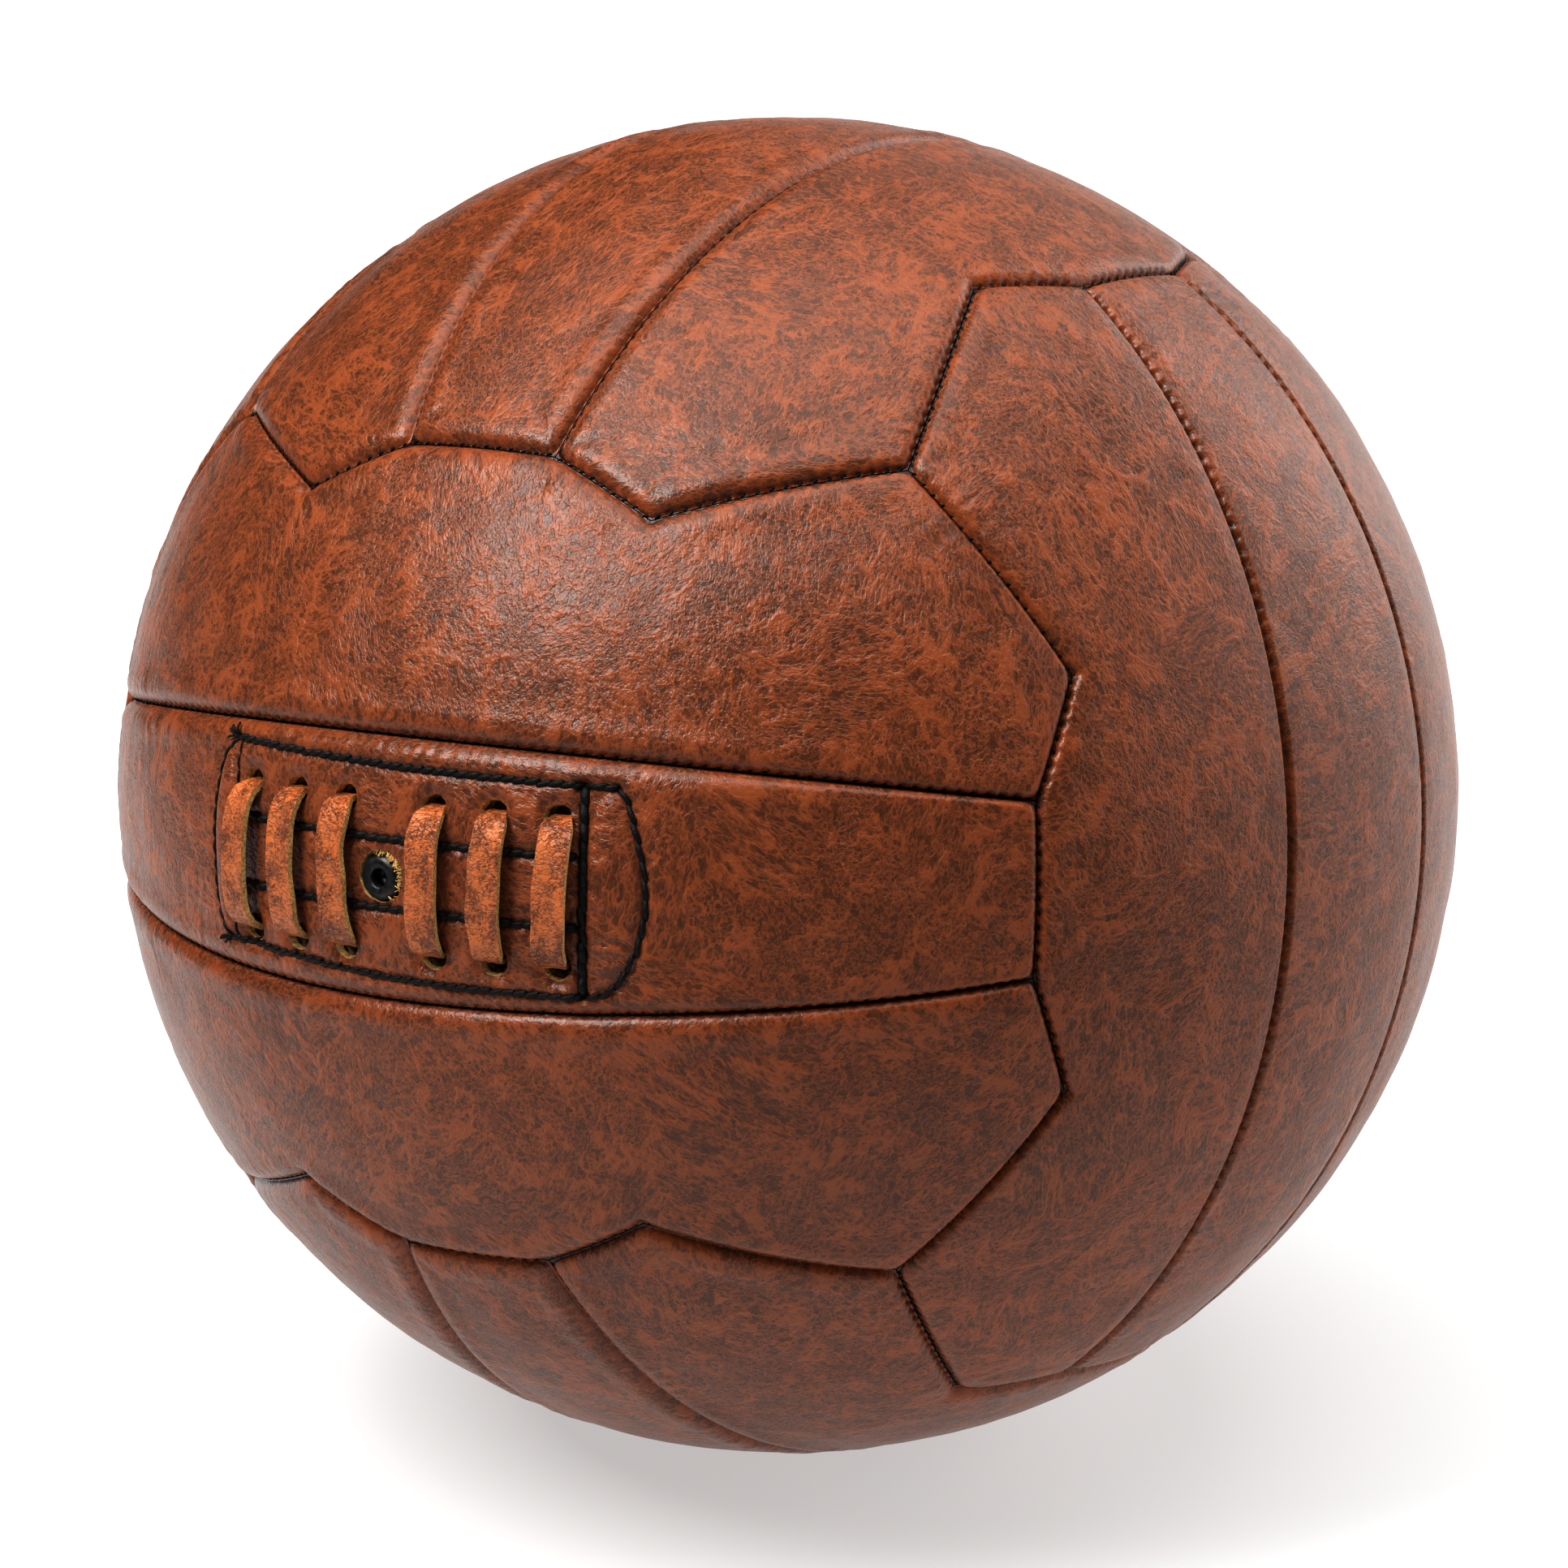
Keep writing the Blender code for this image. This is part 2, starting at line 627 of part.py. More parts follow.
def add_valve(bench, place):
    """The flanged boot and the plug that grips the inflating needle."""
    edge = 0.5 * MM
    flange_bottom = VALVE_FLANGE_TOP - VALVE_FLANGE_THICKNESS
    bore = PLUG_RADIUS + TOUCH_GAP
    boot = [
        (VALVE_MOUTH_RADIUS, VALVE_TOP),
        (VALVE_RIM_RADIUS - edge, VALVE_TOP),
        (VALVE_RIM_RADIUS, VALVE_TOP - edge),
        (VALVE_RIM_RADIUS, VALVE_TOP - VALVE_RIM_DEPTH),
        (VALVE_NECK_RADIUS, VALVE_TOP - VALVE_RIM_DEPTH - edge),
        (VALVE_NECK_RADIUS, VALVE_FLANGE_TOP),
        (VALVE_FLANGE_RADIUS, VALVE_FLANGE_TOP - edge),
        (VALVE_FLANGE_RADIUS, flange_bottom),
        (bore, flange_bottom),
        (bore, PLUG_TOP + TOUCH_GAP),
        (VALVE_MOUTH_RADIUS, PLUG_TOP + TOUCH_GAP),
    ]
    add_turned(bench, "valve_boot", [*boot, boot[0]], "valve_rubber", place)
    plug = [
        (VALVE_MOUTH_RADIUS - edge, PLUG_TOP),
        (PLUG_RADIUS, PLUG_TOP - edge),
        (PLUG_RADIUS, PLUG_BOTTOM),
        (NEEDLE_RADIUS, PLUG_BOTTOM),
        (NEEDLE_RADIUS, PLUG_TOP - edge),
    ]
    add_turned(bench, "valve_plug", [*plug, plug[0]], "valve_rubber", place)


def build():
    """The whole ball."""
    bench = Bench()
    add_covers(bench)
    add_linings(bench)
    add_ring_threads(bench)
    add_star_threads(bench)
    add_topstitching(bench)
    add_lace(bench)
    add_tongue(bench)
    cut_mouth(bench)
    valve_place = front_place(VALVE_X, VALVE_Z, BALL_RADIUS)
    add_bladder(bench, valve_place)
    add_valve(bench, valve_place)


build()
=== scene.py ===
"""The looks of a laced, vintage-style ball of 18 stitched leather strips.

Shapes are worked out in the ball's own axes (x to its right, y to its top, z to its front) and in
millimetres. The last step of each piece turns it into the row frame, in metres.
"""
import itertools
import json
import math

import bpy
import numpy as np
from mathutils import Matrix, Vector


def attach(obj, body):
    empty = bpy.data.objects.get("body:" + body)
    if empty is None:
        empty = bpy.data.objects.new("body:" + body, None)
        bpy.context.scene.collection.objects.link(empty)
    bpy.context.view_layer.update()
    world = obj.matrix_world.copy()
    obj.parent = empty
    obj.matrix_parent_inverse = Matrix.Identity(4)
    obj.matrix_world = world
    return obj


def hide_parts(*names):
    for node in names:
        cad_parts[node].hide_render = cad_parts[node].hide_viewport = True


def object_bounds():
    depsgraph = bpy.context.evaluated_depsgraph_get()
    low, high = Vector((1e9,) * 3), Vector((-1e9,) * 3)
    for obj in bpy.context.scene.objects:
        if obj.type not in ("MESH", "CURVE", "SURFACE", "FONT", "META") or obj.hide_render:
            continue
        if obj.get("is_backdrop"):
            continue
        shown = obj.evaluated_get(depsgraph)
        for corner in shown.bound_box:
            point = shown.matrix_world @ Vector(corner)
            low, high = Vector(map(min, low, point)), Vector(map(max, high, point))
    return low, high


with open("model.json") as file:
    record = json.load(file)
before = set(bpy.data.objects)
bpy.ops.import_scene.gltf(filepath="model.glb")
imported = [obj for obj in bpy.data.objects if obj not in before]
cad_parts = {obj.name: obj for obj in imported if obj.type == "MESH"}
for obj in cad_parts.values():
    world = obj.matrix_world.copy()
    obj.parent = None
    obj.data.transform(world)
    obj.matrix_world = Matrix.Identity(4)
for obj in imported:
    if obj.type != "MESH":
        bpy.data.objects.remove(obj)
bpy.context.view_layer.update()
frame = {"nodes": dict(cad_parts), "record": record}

MM = 0.001

# The ball and its strips, as in the CAD: places on the sphere are angles from a face's centre
RADIUS = 110.0
MIDDLE_END = (math.radians(54.0), math.radians(7.3))
STRIP_POINT = (math.radians(58.0), math.radians(17.3))
LONG_SEAM_BOW = math.radians(-1.3)
LEG_STEP = math.radians(3.0)
SEAM_HALF_GAP = 0.1

# The cover's section at a seam: edges rolled into it and a low ridge beside it, both narrower on
# the ball's right. PLUMP_SIDE says how far right they become flat and plump.
SEAM_DEPTH = 2.4
SEAM_FLOOR = 1.6
FLAT_ROLL, PLUMP_ROLL = 1.4, 2.7
FLAT_RIDGE, PLUMP_RIDGE = 0.06, 0.3
RIDGE_PLACE, RIDGE_SPREAD = 3.6, 2.0
PLUMP_SIDE = (0.8, 0.35)
CROWN_DROP = 0.25
CROWN_REACH = 6.0
COVER_INSIDE = 108.3
COVER_RIM = 107.75
INNER_INSET = 2.5
INNER_STRIDE = 8

# Seam stitches: they bite deeper into the side of a seam that faces NOTCH_SIDE
SEAM_PITCH = 2.3
NOTCH_SIDE = np.array((0.4, 0.85, -0.35))
DEEP_NOTCH, SHALLOW_NOTCH = 0.62, 0.14
NOTCH_REACH = 0.75
NUB_SHARE, NUB_PLACE, NUB_SPREAD = 0.1, 0.8, 0.5
SEAM_THREAD = 0.165
SEAM_THREAD_LEVEL = 108.35
SEAM_THREAD_SHIFT = 0.34
SEAM_STITCH = (0.6, -0.5, 0.26, -0.6)  # slant, overlap, high and low, as sewn_path takes them

# Wrinkles at the seams, and the skin's unevenness as (height, wavelength)
PUCKER_HEIGHT = 0.06
UNEVENNESS = ((0.08, 42), (0.04, 15), (0.02, 6))

# Seeds. Each piece's own are counted on from these.
UNEVENNESS_SEED = 7
HOLE_SEED = 40
LACE_EDGE_SEED, LACE_FINE_SEED, LACE_FOLD_SEED = 61, 71, 72
FRAY_SEED = 77
STRIP_SEED, STRIP_SEED_STEP = 100, 10
MOUTH_FOLD_SEED = 900
SEAM_SEED = 3000
MOUTH_SEED = 5000
TUFT_SEED, TAIL_SEED = 5101, 5102

# Points along and across each kind of strip
OUTER_GRID = (640, 144)
MIDDLE_GRID = (520, 104)
LACED_GRID = (560, 144)

# The laced mouth, in mm over the front face from its centre
MOUTH_X, MOUTH_Z = -1.5, -0.6
BAR_OFFSETS = (-29.9, -19.2, -8.5, 8.5, 19.2, 29.9)
HOLE_ROW = 11.6
ROWS_LOWER = 0.4
HOLE_RADIUS = 2.4
HOLE_FLARE = 0.085
VALVE_HOLE_RADIUS = 4.2
VALVE_HOLE_FLARE = 0.03
VALVE_HOLE_WORN = (0.36, 0.30)
INNER_ROW = 5.6
FRAME_HALF_WIDTH = 16.6
FRAME_HALF_LENGTH = 34.0
HOLE_PLACES = [(x, z) for x in BAR_OFFSETS for z in (HOLE_ROW - ROWS_LOWER, -HOLE_ROW - ROWS_LOWER)]

# How the mouth shapes the skin: where it ends, its pressed lines, end bulges and dished holes
MOUTH_REACH = (52, 24)
PRESS_WIDTH, PRESS_LIP, PRESS_LIP_WIDTH = 0.95, 1.5, 0.8
END_BULGES = ((1, 9.6), (-1, 5.0))
BULGE_HALF_WIDTH, BULGE_HEIGHT = 15.5, 0.8
HOLE_DISH, HOLE_LIP, VALVE_DISH = 0.5, 0.12, 0.45

# The lace: how far each visible bar leans and how much higher than the others it rises
LACE_WIDTH, LACE_THICKNESS = 5.25, 1.2
BAR_LEANS = (0.2, -0.2, -0.4, 0.1, 0.3, 0.5)
BAR_RISES = (0.35, 0.1, -0.1, 0.1, 0.0, 0.25)

# Stitched lines of the mouth: pitch, thread radius, slant, overlap, height over the skin and how
# deep the line is pressed in
STITCHES = {
    "top": (2.05, 0.46, 0.6, 0.3, 0.32, 0.45),
    "bottom": (2.05, 0.44, 0.55, 0.28, 0.3, 0.42),
    "curve_right": (3.0, 0.43, 0.35, 0.1, 0.3, 0.4),
    "curve_left": (2.6, 0.25, 0.1, 0.1, 0.14, 0.18),
    "end_left": (2.4, 0.22, 0.1, 0.1, 0.12, 0.15),
    "end_right": (2.9, 0.78, 0.5, 0.3, 0.42, 1.1),
    "inner_upper": (2.2, 0.5, 0.3, 0.35, 0.4, 0.55),
    "inner_lower": (2.2, 0.5, 0.3, 0.35, 0.4, 0.55),
}

# Under the cover
LINING_OUTSIDE, LINING_RIM, LINING_INSIDE = 107.6, 106.9, 106.85
LINING_HALF_GAP, LINING_INSET = 1.6, 1.8
LINING_GRID, LINING_STRIDE = (64, 24), 4
BLADDER_RADIUS, BLADDER_THICKNESS = 105.3, 0.9
BLADDER_HOLLOW = 1.7  # how much deeper it lies round the valve
BLADDER_HOLE = 3.7

# The studio: each light's direction from the ball, distance and size in metres, and power in watts
LIGHTS = {
    "key": ((-0.56, -0.34, 0.75), 1.35, 0.65, 25),
    "overhead": ((0.0, 0.0, 1.0), 1.9, 2.1, 58),
    "back": ((0.5, 1.0, 0.5), 2.2, 2.2, 9),
    "right": ((1.0, -0.1, 0.3), 1.6, 1.2, 10),
    "right_back": ((0.8, 0.6, 0.4), 1.6, 1.2, 13),
}
SKY_STRENGTH = 0.02
TONE_GAMMA = 0.75
CAMERA_ELEVATION = math.radians(20)
CAMERA_DISTANCE = 12  # ball radii
CAMERA_LENS = 183.4
CAMERA_SHIFT = (-0.0032, 0.0006)

# Each face's three strips: the middle one, then the ones towards its two sides
FACES = {
    "front": ("middle", "upper", "lower"),
    "back": ("middle", "upper", "lower"),
    "right": ("middle", "front", "back"),
    "left": ("middle", "front", "back"),
    "top": ("middle", "right", "left"),
    "bottom": ("middle", "right", "left"),
}


# The ball's axes, read from the frame


def unit(vectors):
    """Vectors scaled to length 1."""
    return vectors / np.linalg.norm(vectors, axis=-1, keepdims=True)


def node_middle(name):
    """The mean of a CAD node's separate points."""
    mesh = frame["nodes"][name].data
    points = np.empty(len(mesh.vertices) * 3)
    mesh.vertices.foreach_get("co", points)
    return np.unique(points.reshape(-1, 3).round(6), axis=0).mean(0)


BALL_AXES = np.array([unit(node_middle(f"cover_{face}_middle")) for face in ("right", "top", "front")])
RIGHT, TOP, FRONT = np.eye(3)
DIRECTIONS = {"right": RIGHT, "left": -RIGHT, "top": TOP, "bottom": -TOP, "front": FRONT, "back": -FRONT}
VALVE_MOUNT = next(mount for mount in frame["record"]["mounts"] if mount["name"] == "valve_face")
VALVE_DIRECTION = unit(BALL_AXES @ np.array(VALVE_MOUNT["axis"]))


# Meshes


def make_piece(name, points, faces, materials, replaces, slots=None, smooth_angle=None):
    """A mesh piece from points in mm in the ball's axes. faces is a list of (n, corners) arrays."""
    mesh = bpy.data.meshes.new(name)
    places = (points @ BALL_AXES) * MM
    corners = np.concatenate([part.ravel() for part in faces]).astype(np.int32)
    sizes = np.concatenate([np.full(len(part), part.shape[1]) for part in faces])
    starts = np.concatenate([[0], np.cumsum(sizes)[:-1]]).astype(np.int32)
    mesh.vertices.add(len(points))
    mesh.vertices.foreach_set("co", places.astype(np.float32).ravel())
    mesh.loops.add(len(corners))
    mesh.loops.foreach_set("vertex_index", corners)
    mesh.polygons.add(len(sizes))
    mesh.polygons.foreach_set("loop_start", starts)
    if slots is not None:
        mesh.polygons.foreach_set("material_index", slots.astype(np.int32))
    mesh.update(calc_edges=True)
    mesh.validate()
    mesh.shade_smooth()
    if smooth_angle:
        mesh.set_sharp_from_angle(angle=math.radians(smooth_angle))
    piece = bpy.data.objects.new(name, mesh)
    for material in materials:
        mesh.materials.append(material)
    bpy.context.scene.collection.objects.link(piece)
    if replaces:
        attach(piece, "root")
        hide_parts(*replaces)
    return piece


def ball_points(mesh):
    """A mesh's points, in mm in the ball's axes."""
    points = np.empty(len(mesh.vertices) * 3)
    mesh.vertices.foreach_get("co", points)
    return points.reshape(-1, 3) / MM @ BALL_AXES.T


def grid_faces(rows, columns, closed_rows=False, closed_columns=False, first=0):
    """Four-cornered faces over a grid of rows x columns points."""
    i = np.arange(rows if closed_rows else rows - 1)[:, None]
    j = np.arange(columns if closed_columns else columns - 1)[None, :]
    below, beside = (i + 1) % rows, (j + 1) % columns
    here, next_row = i * columns, below * columns
    faces = np.stack([here + j, here + beside, next_row + beside, next_row + j], -1)
    return faces.reshape(-1, 4) + first


def round_turn(steps):
    """Even angles once round."""
    return np.arange(steps) * 2 * np.pi / steps


def add_attribute(mesh, name, kind, field, values):
    """Store values per point, for a material to read."""
    stored = mesh.attributes.new(name, kind, "POINT")
    stored.data.foreach_set(field, np.asarray(values).astype(np.float32).ravel())


def ripples(points, wavelength, seed, waves=28):
    """Smooth seeded noise, of about unit size, from waves of similar length in all directions."""
    draw = np.random.default_rng(seed)
    turn = unit(draw.normal(size=(waves, points.shape[-1])))
    turn *= 2 * np.pi / wavelength * draw.uniform(0.6, 1.5, (waves, 1))
    phase = draw.uniform(0, 2 * np.pi, waves)
    return np.cos(points @ turn.T + phase).sum(-1) * math.sqrt(2 / waves)


def smooth_step(values, low, high):
    """0 below low, 1 above high, smooth between."""
    share = np.clip((values - low) / (high - low), 0, 1)
    return share * share * (3 - 2 * share)


def bell(values, place, spread):
    """1 at a place, falling off to both sides."""
    return np.exp(-(((values - place) / spread) ** 2))


# Strip outlines, in a strip's own axes: x along it, y outward over the face, z the face's normal

ALONG, OUTWARD, NORMAL = np.eye(3)


def sphere_place(angles, normal, end, side):
    """A place on the sphere, given as angles from a face's centre."""
    along, across = angles
    return (normal * math.cos(along) + end * math.sin(along)) * math.cos(across) + side * math.sin(across)


def arc(start, end, shares, bow=None):
    """Points on the arc between two unit vectors, pushed sideways by bow at its middle."""
    angle = math.acos(start @ end)
    t = np.asarray(shares)[..., None]
    points = (np.sin((1 - t) * angle) * start + np.sin(t * angle) * end) / math.sin(angle)
    return points if bow is None else unit(points + bow * (4 * t * (1 - t)))


class Outline:
    """A strip's four sides, each a chain of corners, and the bows of its long sides."""

    def __init__(self, middle):
        bow = OUTWARD * LONG_SEAM_BOW
        low = [sphere_place(MIDDLE_END, NORMAL, end, OUTWARD) for end in (-ALONG, ALONG)]
        if middle:
            self.bows = (-bow, bow)
            self.top = low
            self.bottom = [sphere_place(MIDDLE_END, NORMAL, end, -OUTWARD) for end in (-ALONG, ALONG)]
            self.left = [self.bottom[0], self.top[0]]
            self.right = [self.bottom[1], self.top[1]]
            return
        self.bows = (bow, None)
        far = [sphere_place(angles, OUTWARD, NORMAL, -ALONG) for angles in (STRIP_POINT, MIDDLE_END)]
        near = [sphere_place(angles, OUTWARD, NORMAL, ALONG) for angles in (MIDDLE_END, STRIP_POINT)]
        ends = [unit(NORMAL + OUTWARD + end) for end in (-ALONG, ALONG)]
        self.bottom = low
        self.top = [ends[0], *far, *near, ends[1]]
        self.left = [low[0], sphere_place(STRIP_POINT, NORMAL, -ALONG, OUTWARD), ends[0]]
        self.right = [low[1], sphere_place(STRIP_POINT, NORMAL, ALONG, OUTWARD), ends[1]]

    def legs(self):
        """Every seam round the strip as (start, end, bow)."""
        sides = ((self.bottom, self.bows[0]), (self.right, None), (self.top, self.bows[1]), (self.left, None))
        return [(a, b, bow) for side, bow in sides for a, b in zip(side[:-1], side[1:])]

    def inset(self, distance):
        """Move every side inwards over the sphere, by mm."""
        loop = self.bottom[:-1] + self.right[:-1] + self.top[:0:-1] + self.left[:0:-1]
        moved = []
        for i, here in enumerate(loop):
            before = unit(np.cross(loop[i - 1], here))
            after = unit(np.cross(here, loop[(i + 1) % len(loop)]))
            mitre = (before + after) / (1 + before @ after)
            moved.append(unit(here + mitre * (distance / RADIUS)))
        moved.append(moved[0])
        cut = []
        first = 0
        for side in (self.bottom, self.right, self.top, self.left):
            cut.append(moved[first:first + len(side)])
            first += len(side) - 1
        self.bottom, self.right = cut[0], cut[1]
        self.top, self.left = cut[2][::-1], cut[3][::-1]
        return self

    def sheet(self, along_shares, across_shares):
        """A grid of unit vectors between the sides, rows across and columns along."""
        bottom = chain(self.bottom, along_shares, self.bows[0])
        top = chain(self.top, along_shares, self.bows[1])
        left = chain(self.left, across_shares)
        right = chain(self.right, across_shares)
        u = along_shares[None, :, None]
        v = across_shares[:, None, None]
        flat = bottom[None] * (1 - v) + top[None] * v + left[:, None] * (1 - u) + right[:, None] * u
        flat -= (bottom[0] * (1 - u) + bottom[-1] * u) * (1 - v) + (top[0] * (1 - u) + top[-1] * u) * v
        return unit(flat)


def graded(count, closeness=0.6):
    """Shares from 0 to 1 that lie closer together near both ends."""
    even = np.linspace(0, 1, count + 1)
    return even - closeness * np.sin(2 * np.pi * even) / (2 * np.pi)


def chain(corners, shares, bow=None):
    """Points at given shares of a chain's length, shifted so that each corner has one."""
    lengths = [math.acos(a @ b) for a, b in zip(corners[:-1], corners[1:])]
    stops = np.cumsum(lengths)[:-1] / sum(lengths)
    marks = [0, *(int(np.abs(shares - stop).argmin()) for stop in stops), len(shares) - 1]
    points = [corners[0][None]]
    for a, b, first, last in zip(corners[:-1], corners[1:], marks[:-1], marks[1:]):
        local = (shares[first + 1:last + 1] - shares[first]) / (shares[last] - shares[first])
        points.append(arc(a, b, local, bow))
    return np.concatenate(points)


def line_fields(points, line):
    """The distance from each point to a polyline, how far along it the nearest place is, and its length."""
    best = np.full(len(points), np.inf)
    where = np.zeros(len(points))
    length = 0.0
    for start, end in zip(line[:-1], line[1:]):
        step = end - start
        size = math.sqrt(step @ step)
        share = np.clip((points - start) @ step / size**2, 0, 1)
        gap = np.linalg.norm(points - start - share[:, None] * step, axis=1)
        closer = gap < best
        best[closer] = gap[closer]
        where[closer] = length + share[closer] * size
        length += size
    return best, where, length


def seam_fields(points, legs):
    """For points on the ball: the rounded distance to the nearest seam, its stitches' phase, the
    place along it, how clearly one seam is the nearest, and which one it is."""
    gaps, phases, places = [], [], []
    for a, b, bow in legs:
        count = max(2, math.ceil(math.acos(a @ b) / LEG_STEP))
        gap, where, length = line_fields(points, arc(a, b, np.linspace(0, 1, count + 1), bow) * RADIUS)
        gaps.append(gap)
        phases.append(2 * np.pi * round(length / SEAM_PITCH) * where / length)
        places.append(where + 100 * len(places))
    gaps, phases, places = np.array(gaps), np.array(phases), np.array(places)
    nearest = gaps.argmin(0)[None]
    two = np.partition(gaps, 1, axis=0)[:2]
    softness = 0.6
    rounded = -softness * np.log(np.exp(-(gaps - two[0]) / softness).sum(0)) + two[0]
    return (
        np.maximum(rounded, 0),
        np.take_along_axis(phases, nearest, 0)[0],
        np.take_along_axis(places, nearest, 0)[0],
        smooth_step(two[1] - two[0], 0.2, 2.2),
        nearest[0],
    )


def leg_notches(legs, basis):
    """How deep the stitches bite into a strip at each of its seams: deeper on one side of a seam."""
    inside = unit(sum(a for a, _, _ in legs))
    depths = []
    for a, b, _ in legs:
        inwards = np.cross(a, b)
        inwards = inwards * np.sign(inwards @ inside)
        depths.append(DEEP_NOTCH if (inwards @ basis) @ NOTCH_SIDE > 0 else SHALLOW_NOTCH)
    return np.array(depths)


def seam_section(distance, phase, clear, notch, plump):
    """How far the cover's surface lies from the ball's radius, by the distance to the seam."""
    bite = notch * (0.5 - 0.5 * np.cos(phase)) ** 1.4 * bell(distance, 0, NOTCH_REACH) * clear
    near = np.maximum(distance - bite, 0)
    roll = np.clip(1 - near / (FLAT_ROLL + (PLUMP_ROLL - FLAT_ROLL) * plump), 0, 1)
    level = -(SEAM_DEPTH - CROWN_DROP) * (1 - np.sqrt(1 - roll**2))
    level = np.maximum(level - CROWN_DROP * np.exp(-distance / CROWN_REACH), -SEAM_FLOOR)
    nubs = NUB_SHARE * notch * np.cos(phase) * bell(distance, NUB_PLACE, NUB_SPREAD) * clear
    ridge = FLAT_RIDGE + (PLUMP_RIDGE - FLAT_RIDGE) * plump
    return level + nubs + ridge * bell(distance, RIDGE_PLACE, RIDGE_SPREAD) * (0.4 + 0.6 * clear)


def puckers(distance, where, clear, seed):
    """Fine wrinkles that run out from the seams."""
    folds = ripples(np.stack([where, distance * 0.22], -1), 2.6, seed)
    folds += 0.6 * ripples(np.stack([where, distance * 0.3], -1), 5.5, seed + 1)
    strength = np.clip(0.55 + 0.45 * ripples(where[:, None], 45, seed + 2), 0.1, 1.3)
    reach = smooth_step(distance, 0.6, 2.4) * np.exp(-distance / 5.5)
    return PUCKER_HEIGHT * folds * strength * reach * clear


def undulation(points, seed):
    """The skin's unevenness. Its longest waves run on from strip to strip."""
    waves = zip(UNEVENNESS, (UNEVENNESS_SEED, seed, seed + 1))
    return sum(height * ripples(points, wavelength, own_seed) for (height, wavelength), own_seed in waves)


# The covers


def strip_basis(face, strip):
    """A strip's own axes as rows, in the ball's axes."""
    normal = DIRECTIONS[face]
    outward = DIRECTIONS[FACES[face][1].replace("upper", "top")]
    if strip == FACES[face][2]:
        outward = -outward
    return np.array([np.cross(outward, normal), outward, normal])


def all_strips():
    """Every strip: its name, its own axes and whether it is a face's middle one."""
    for face, strips in FACES.items():
        for strip in strips:
            yield f"{face}_{strip}", strip_basis(face, strip), strip == "middle"


def border(rows, columns):
    """A grid's border points, once round, against the clock seen from outside."""
    index = np.arange(rows * columns).reshape(rows, columns)
    return np.concatenate([index[0, :-1], index[:-1, -1], index[-1, :0:-1], index[:0:-1, 0]])


def closed_shell(outside, outline, shares, rim_radius, inside_radius, stride):
    """A closed shell under a grid of outside points: a rim, a coarser inside and fans between."""
    rows, columns = len(shares[1]), len(shares[0])
    inner = outline.sheet(shares[0][::stride], shares[1][::stride]).reshape(-1, 3) * inside_radius
    inner_rows, inner_columns = len(shares[1][::stride]), len(shares[0][::stride])
    ring = border(rows, columns)
    rim = unit(outside[ring]) * rim_radius
    first_rim = len(outside)
    first_inner = first_rim + len(rim)
    rim_index = np.arange(len(rim)) + first_rim
    inner_ring = border(inner_rows, inner_columns) + first_inner
    wall = np.stack([ring, rim_index, np.roll(rim_index, -1), np.roll(ring, -1)], -1)
    fine = np.arange(len(rim))
    post = inner_ring[(fine + stride // 2) // stride % len(inner_ring)]
    fans = np.stack([rim_index, post, np.roll(rim_index, -1)], -1)
    turning = np.arange(len(inner_ring))
    middle = rim_index[(turning * stride + stride // 2) % len(rim)]
    bridges = np.stack([middle, inner_ring, np.roll(inner_ring, -1)], -1)
    inside = grid_faces(inner_rows, inner_columns, first=first_inner)[:, ::-1]
    points = np.concatenate([outside, rim, inner])
    return points, [grid_faces(rows, columns), wall, inside, fans, bridges]


def skin_level(skin, fields, legs, basis, seed):
    """The radius of a strip's outside at unit vectors in the strip's own axes."""
    distance, phase, where, clear, leg = fields
    plump = smooth_step(skin @ basis[:, 0], *PLUMP_SIDE)
    level = RADIUS + seam_section(distance, phase, clear, leg_notches(legs, basis)[leg], plump)
    level += puckers(distance, where, clear, seed)
    return level + undulation(skin @ basis * RADIUS, seed + 3) * smooth_step(distance, 0, 4)


class StripKind:
    """The geometry that all strips of one kind share, in a strip's own axes."""

    def __init__(self, middle, along_shares, across_shares):
        self.shares = (along_shares, across_shares)
        self.skin = Outline(middle).inset(SEAM_HALF_GAP).sheet(along_shares, across_shares).reshape(-1, 3)
        self.legs = Outline(middle).legs()
        self.fields = seam_fields(self.skin * RADIUS, self.legs)

    def outside(self, basis, seed, extra=None):
        """The cover's outside for one strip, in the ball's axes."""
        level = skin_level(self.skin, self.fields, self.legs, basis, seed)
        if extra is not None:
            level += extra(self.skin)
        return (self.skin @ basis) * level[:, None]


def turned_outline(outline, basis):
    """An outline in the ball's axes."""
    outline.bows = tuple(None if bow is None else bow @ basis for bow in outline.bows)
    for side in ("bottom", "right", "top", "left"):
        setattr(outline, side, [corner @ basis for corner in getattr(outline, side)])
    return outline


def paint_cover(piece, kind, basis, seed):
    """Store what the leather's material reads: the distance to the seam and the place in the hide."""
    mesh = piece.data
    points = ball_points(mesh)
    distance = np.zeros(len(points))
    known = len(kind.skin)
    if np.allclose(unit(points[:known]) @ basis.T, kind.skin, atol=1e-4):
        distance[:known] = kind.fields[0]
    else:
        distance = seam_fields(unit(points @ basis.T) * RADIUS, kind.legs)[0]
    add_attribute(mesh, "seam_mm", "FLOAT", "value", distance)
    draw = np.random.default_rng(seed)
    turn = np.linalg.qr(draw.normal(size=(3, 3)))[0]
    add_attribute(mesh, "hide", "FLOAT_VECTOR", "vector", points @ turn + draw.uniform(-500, 500, 3))


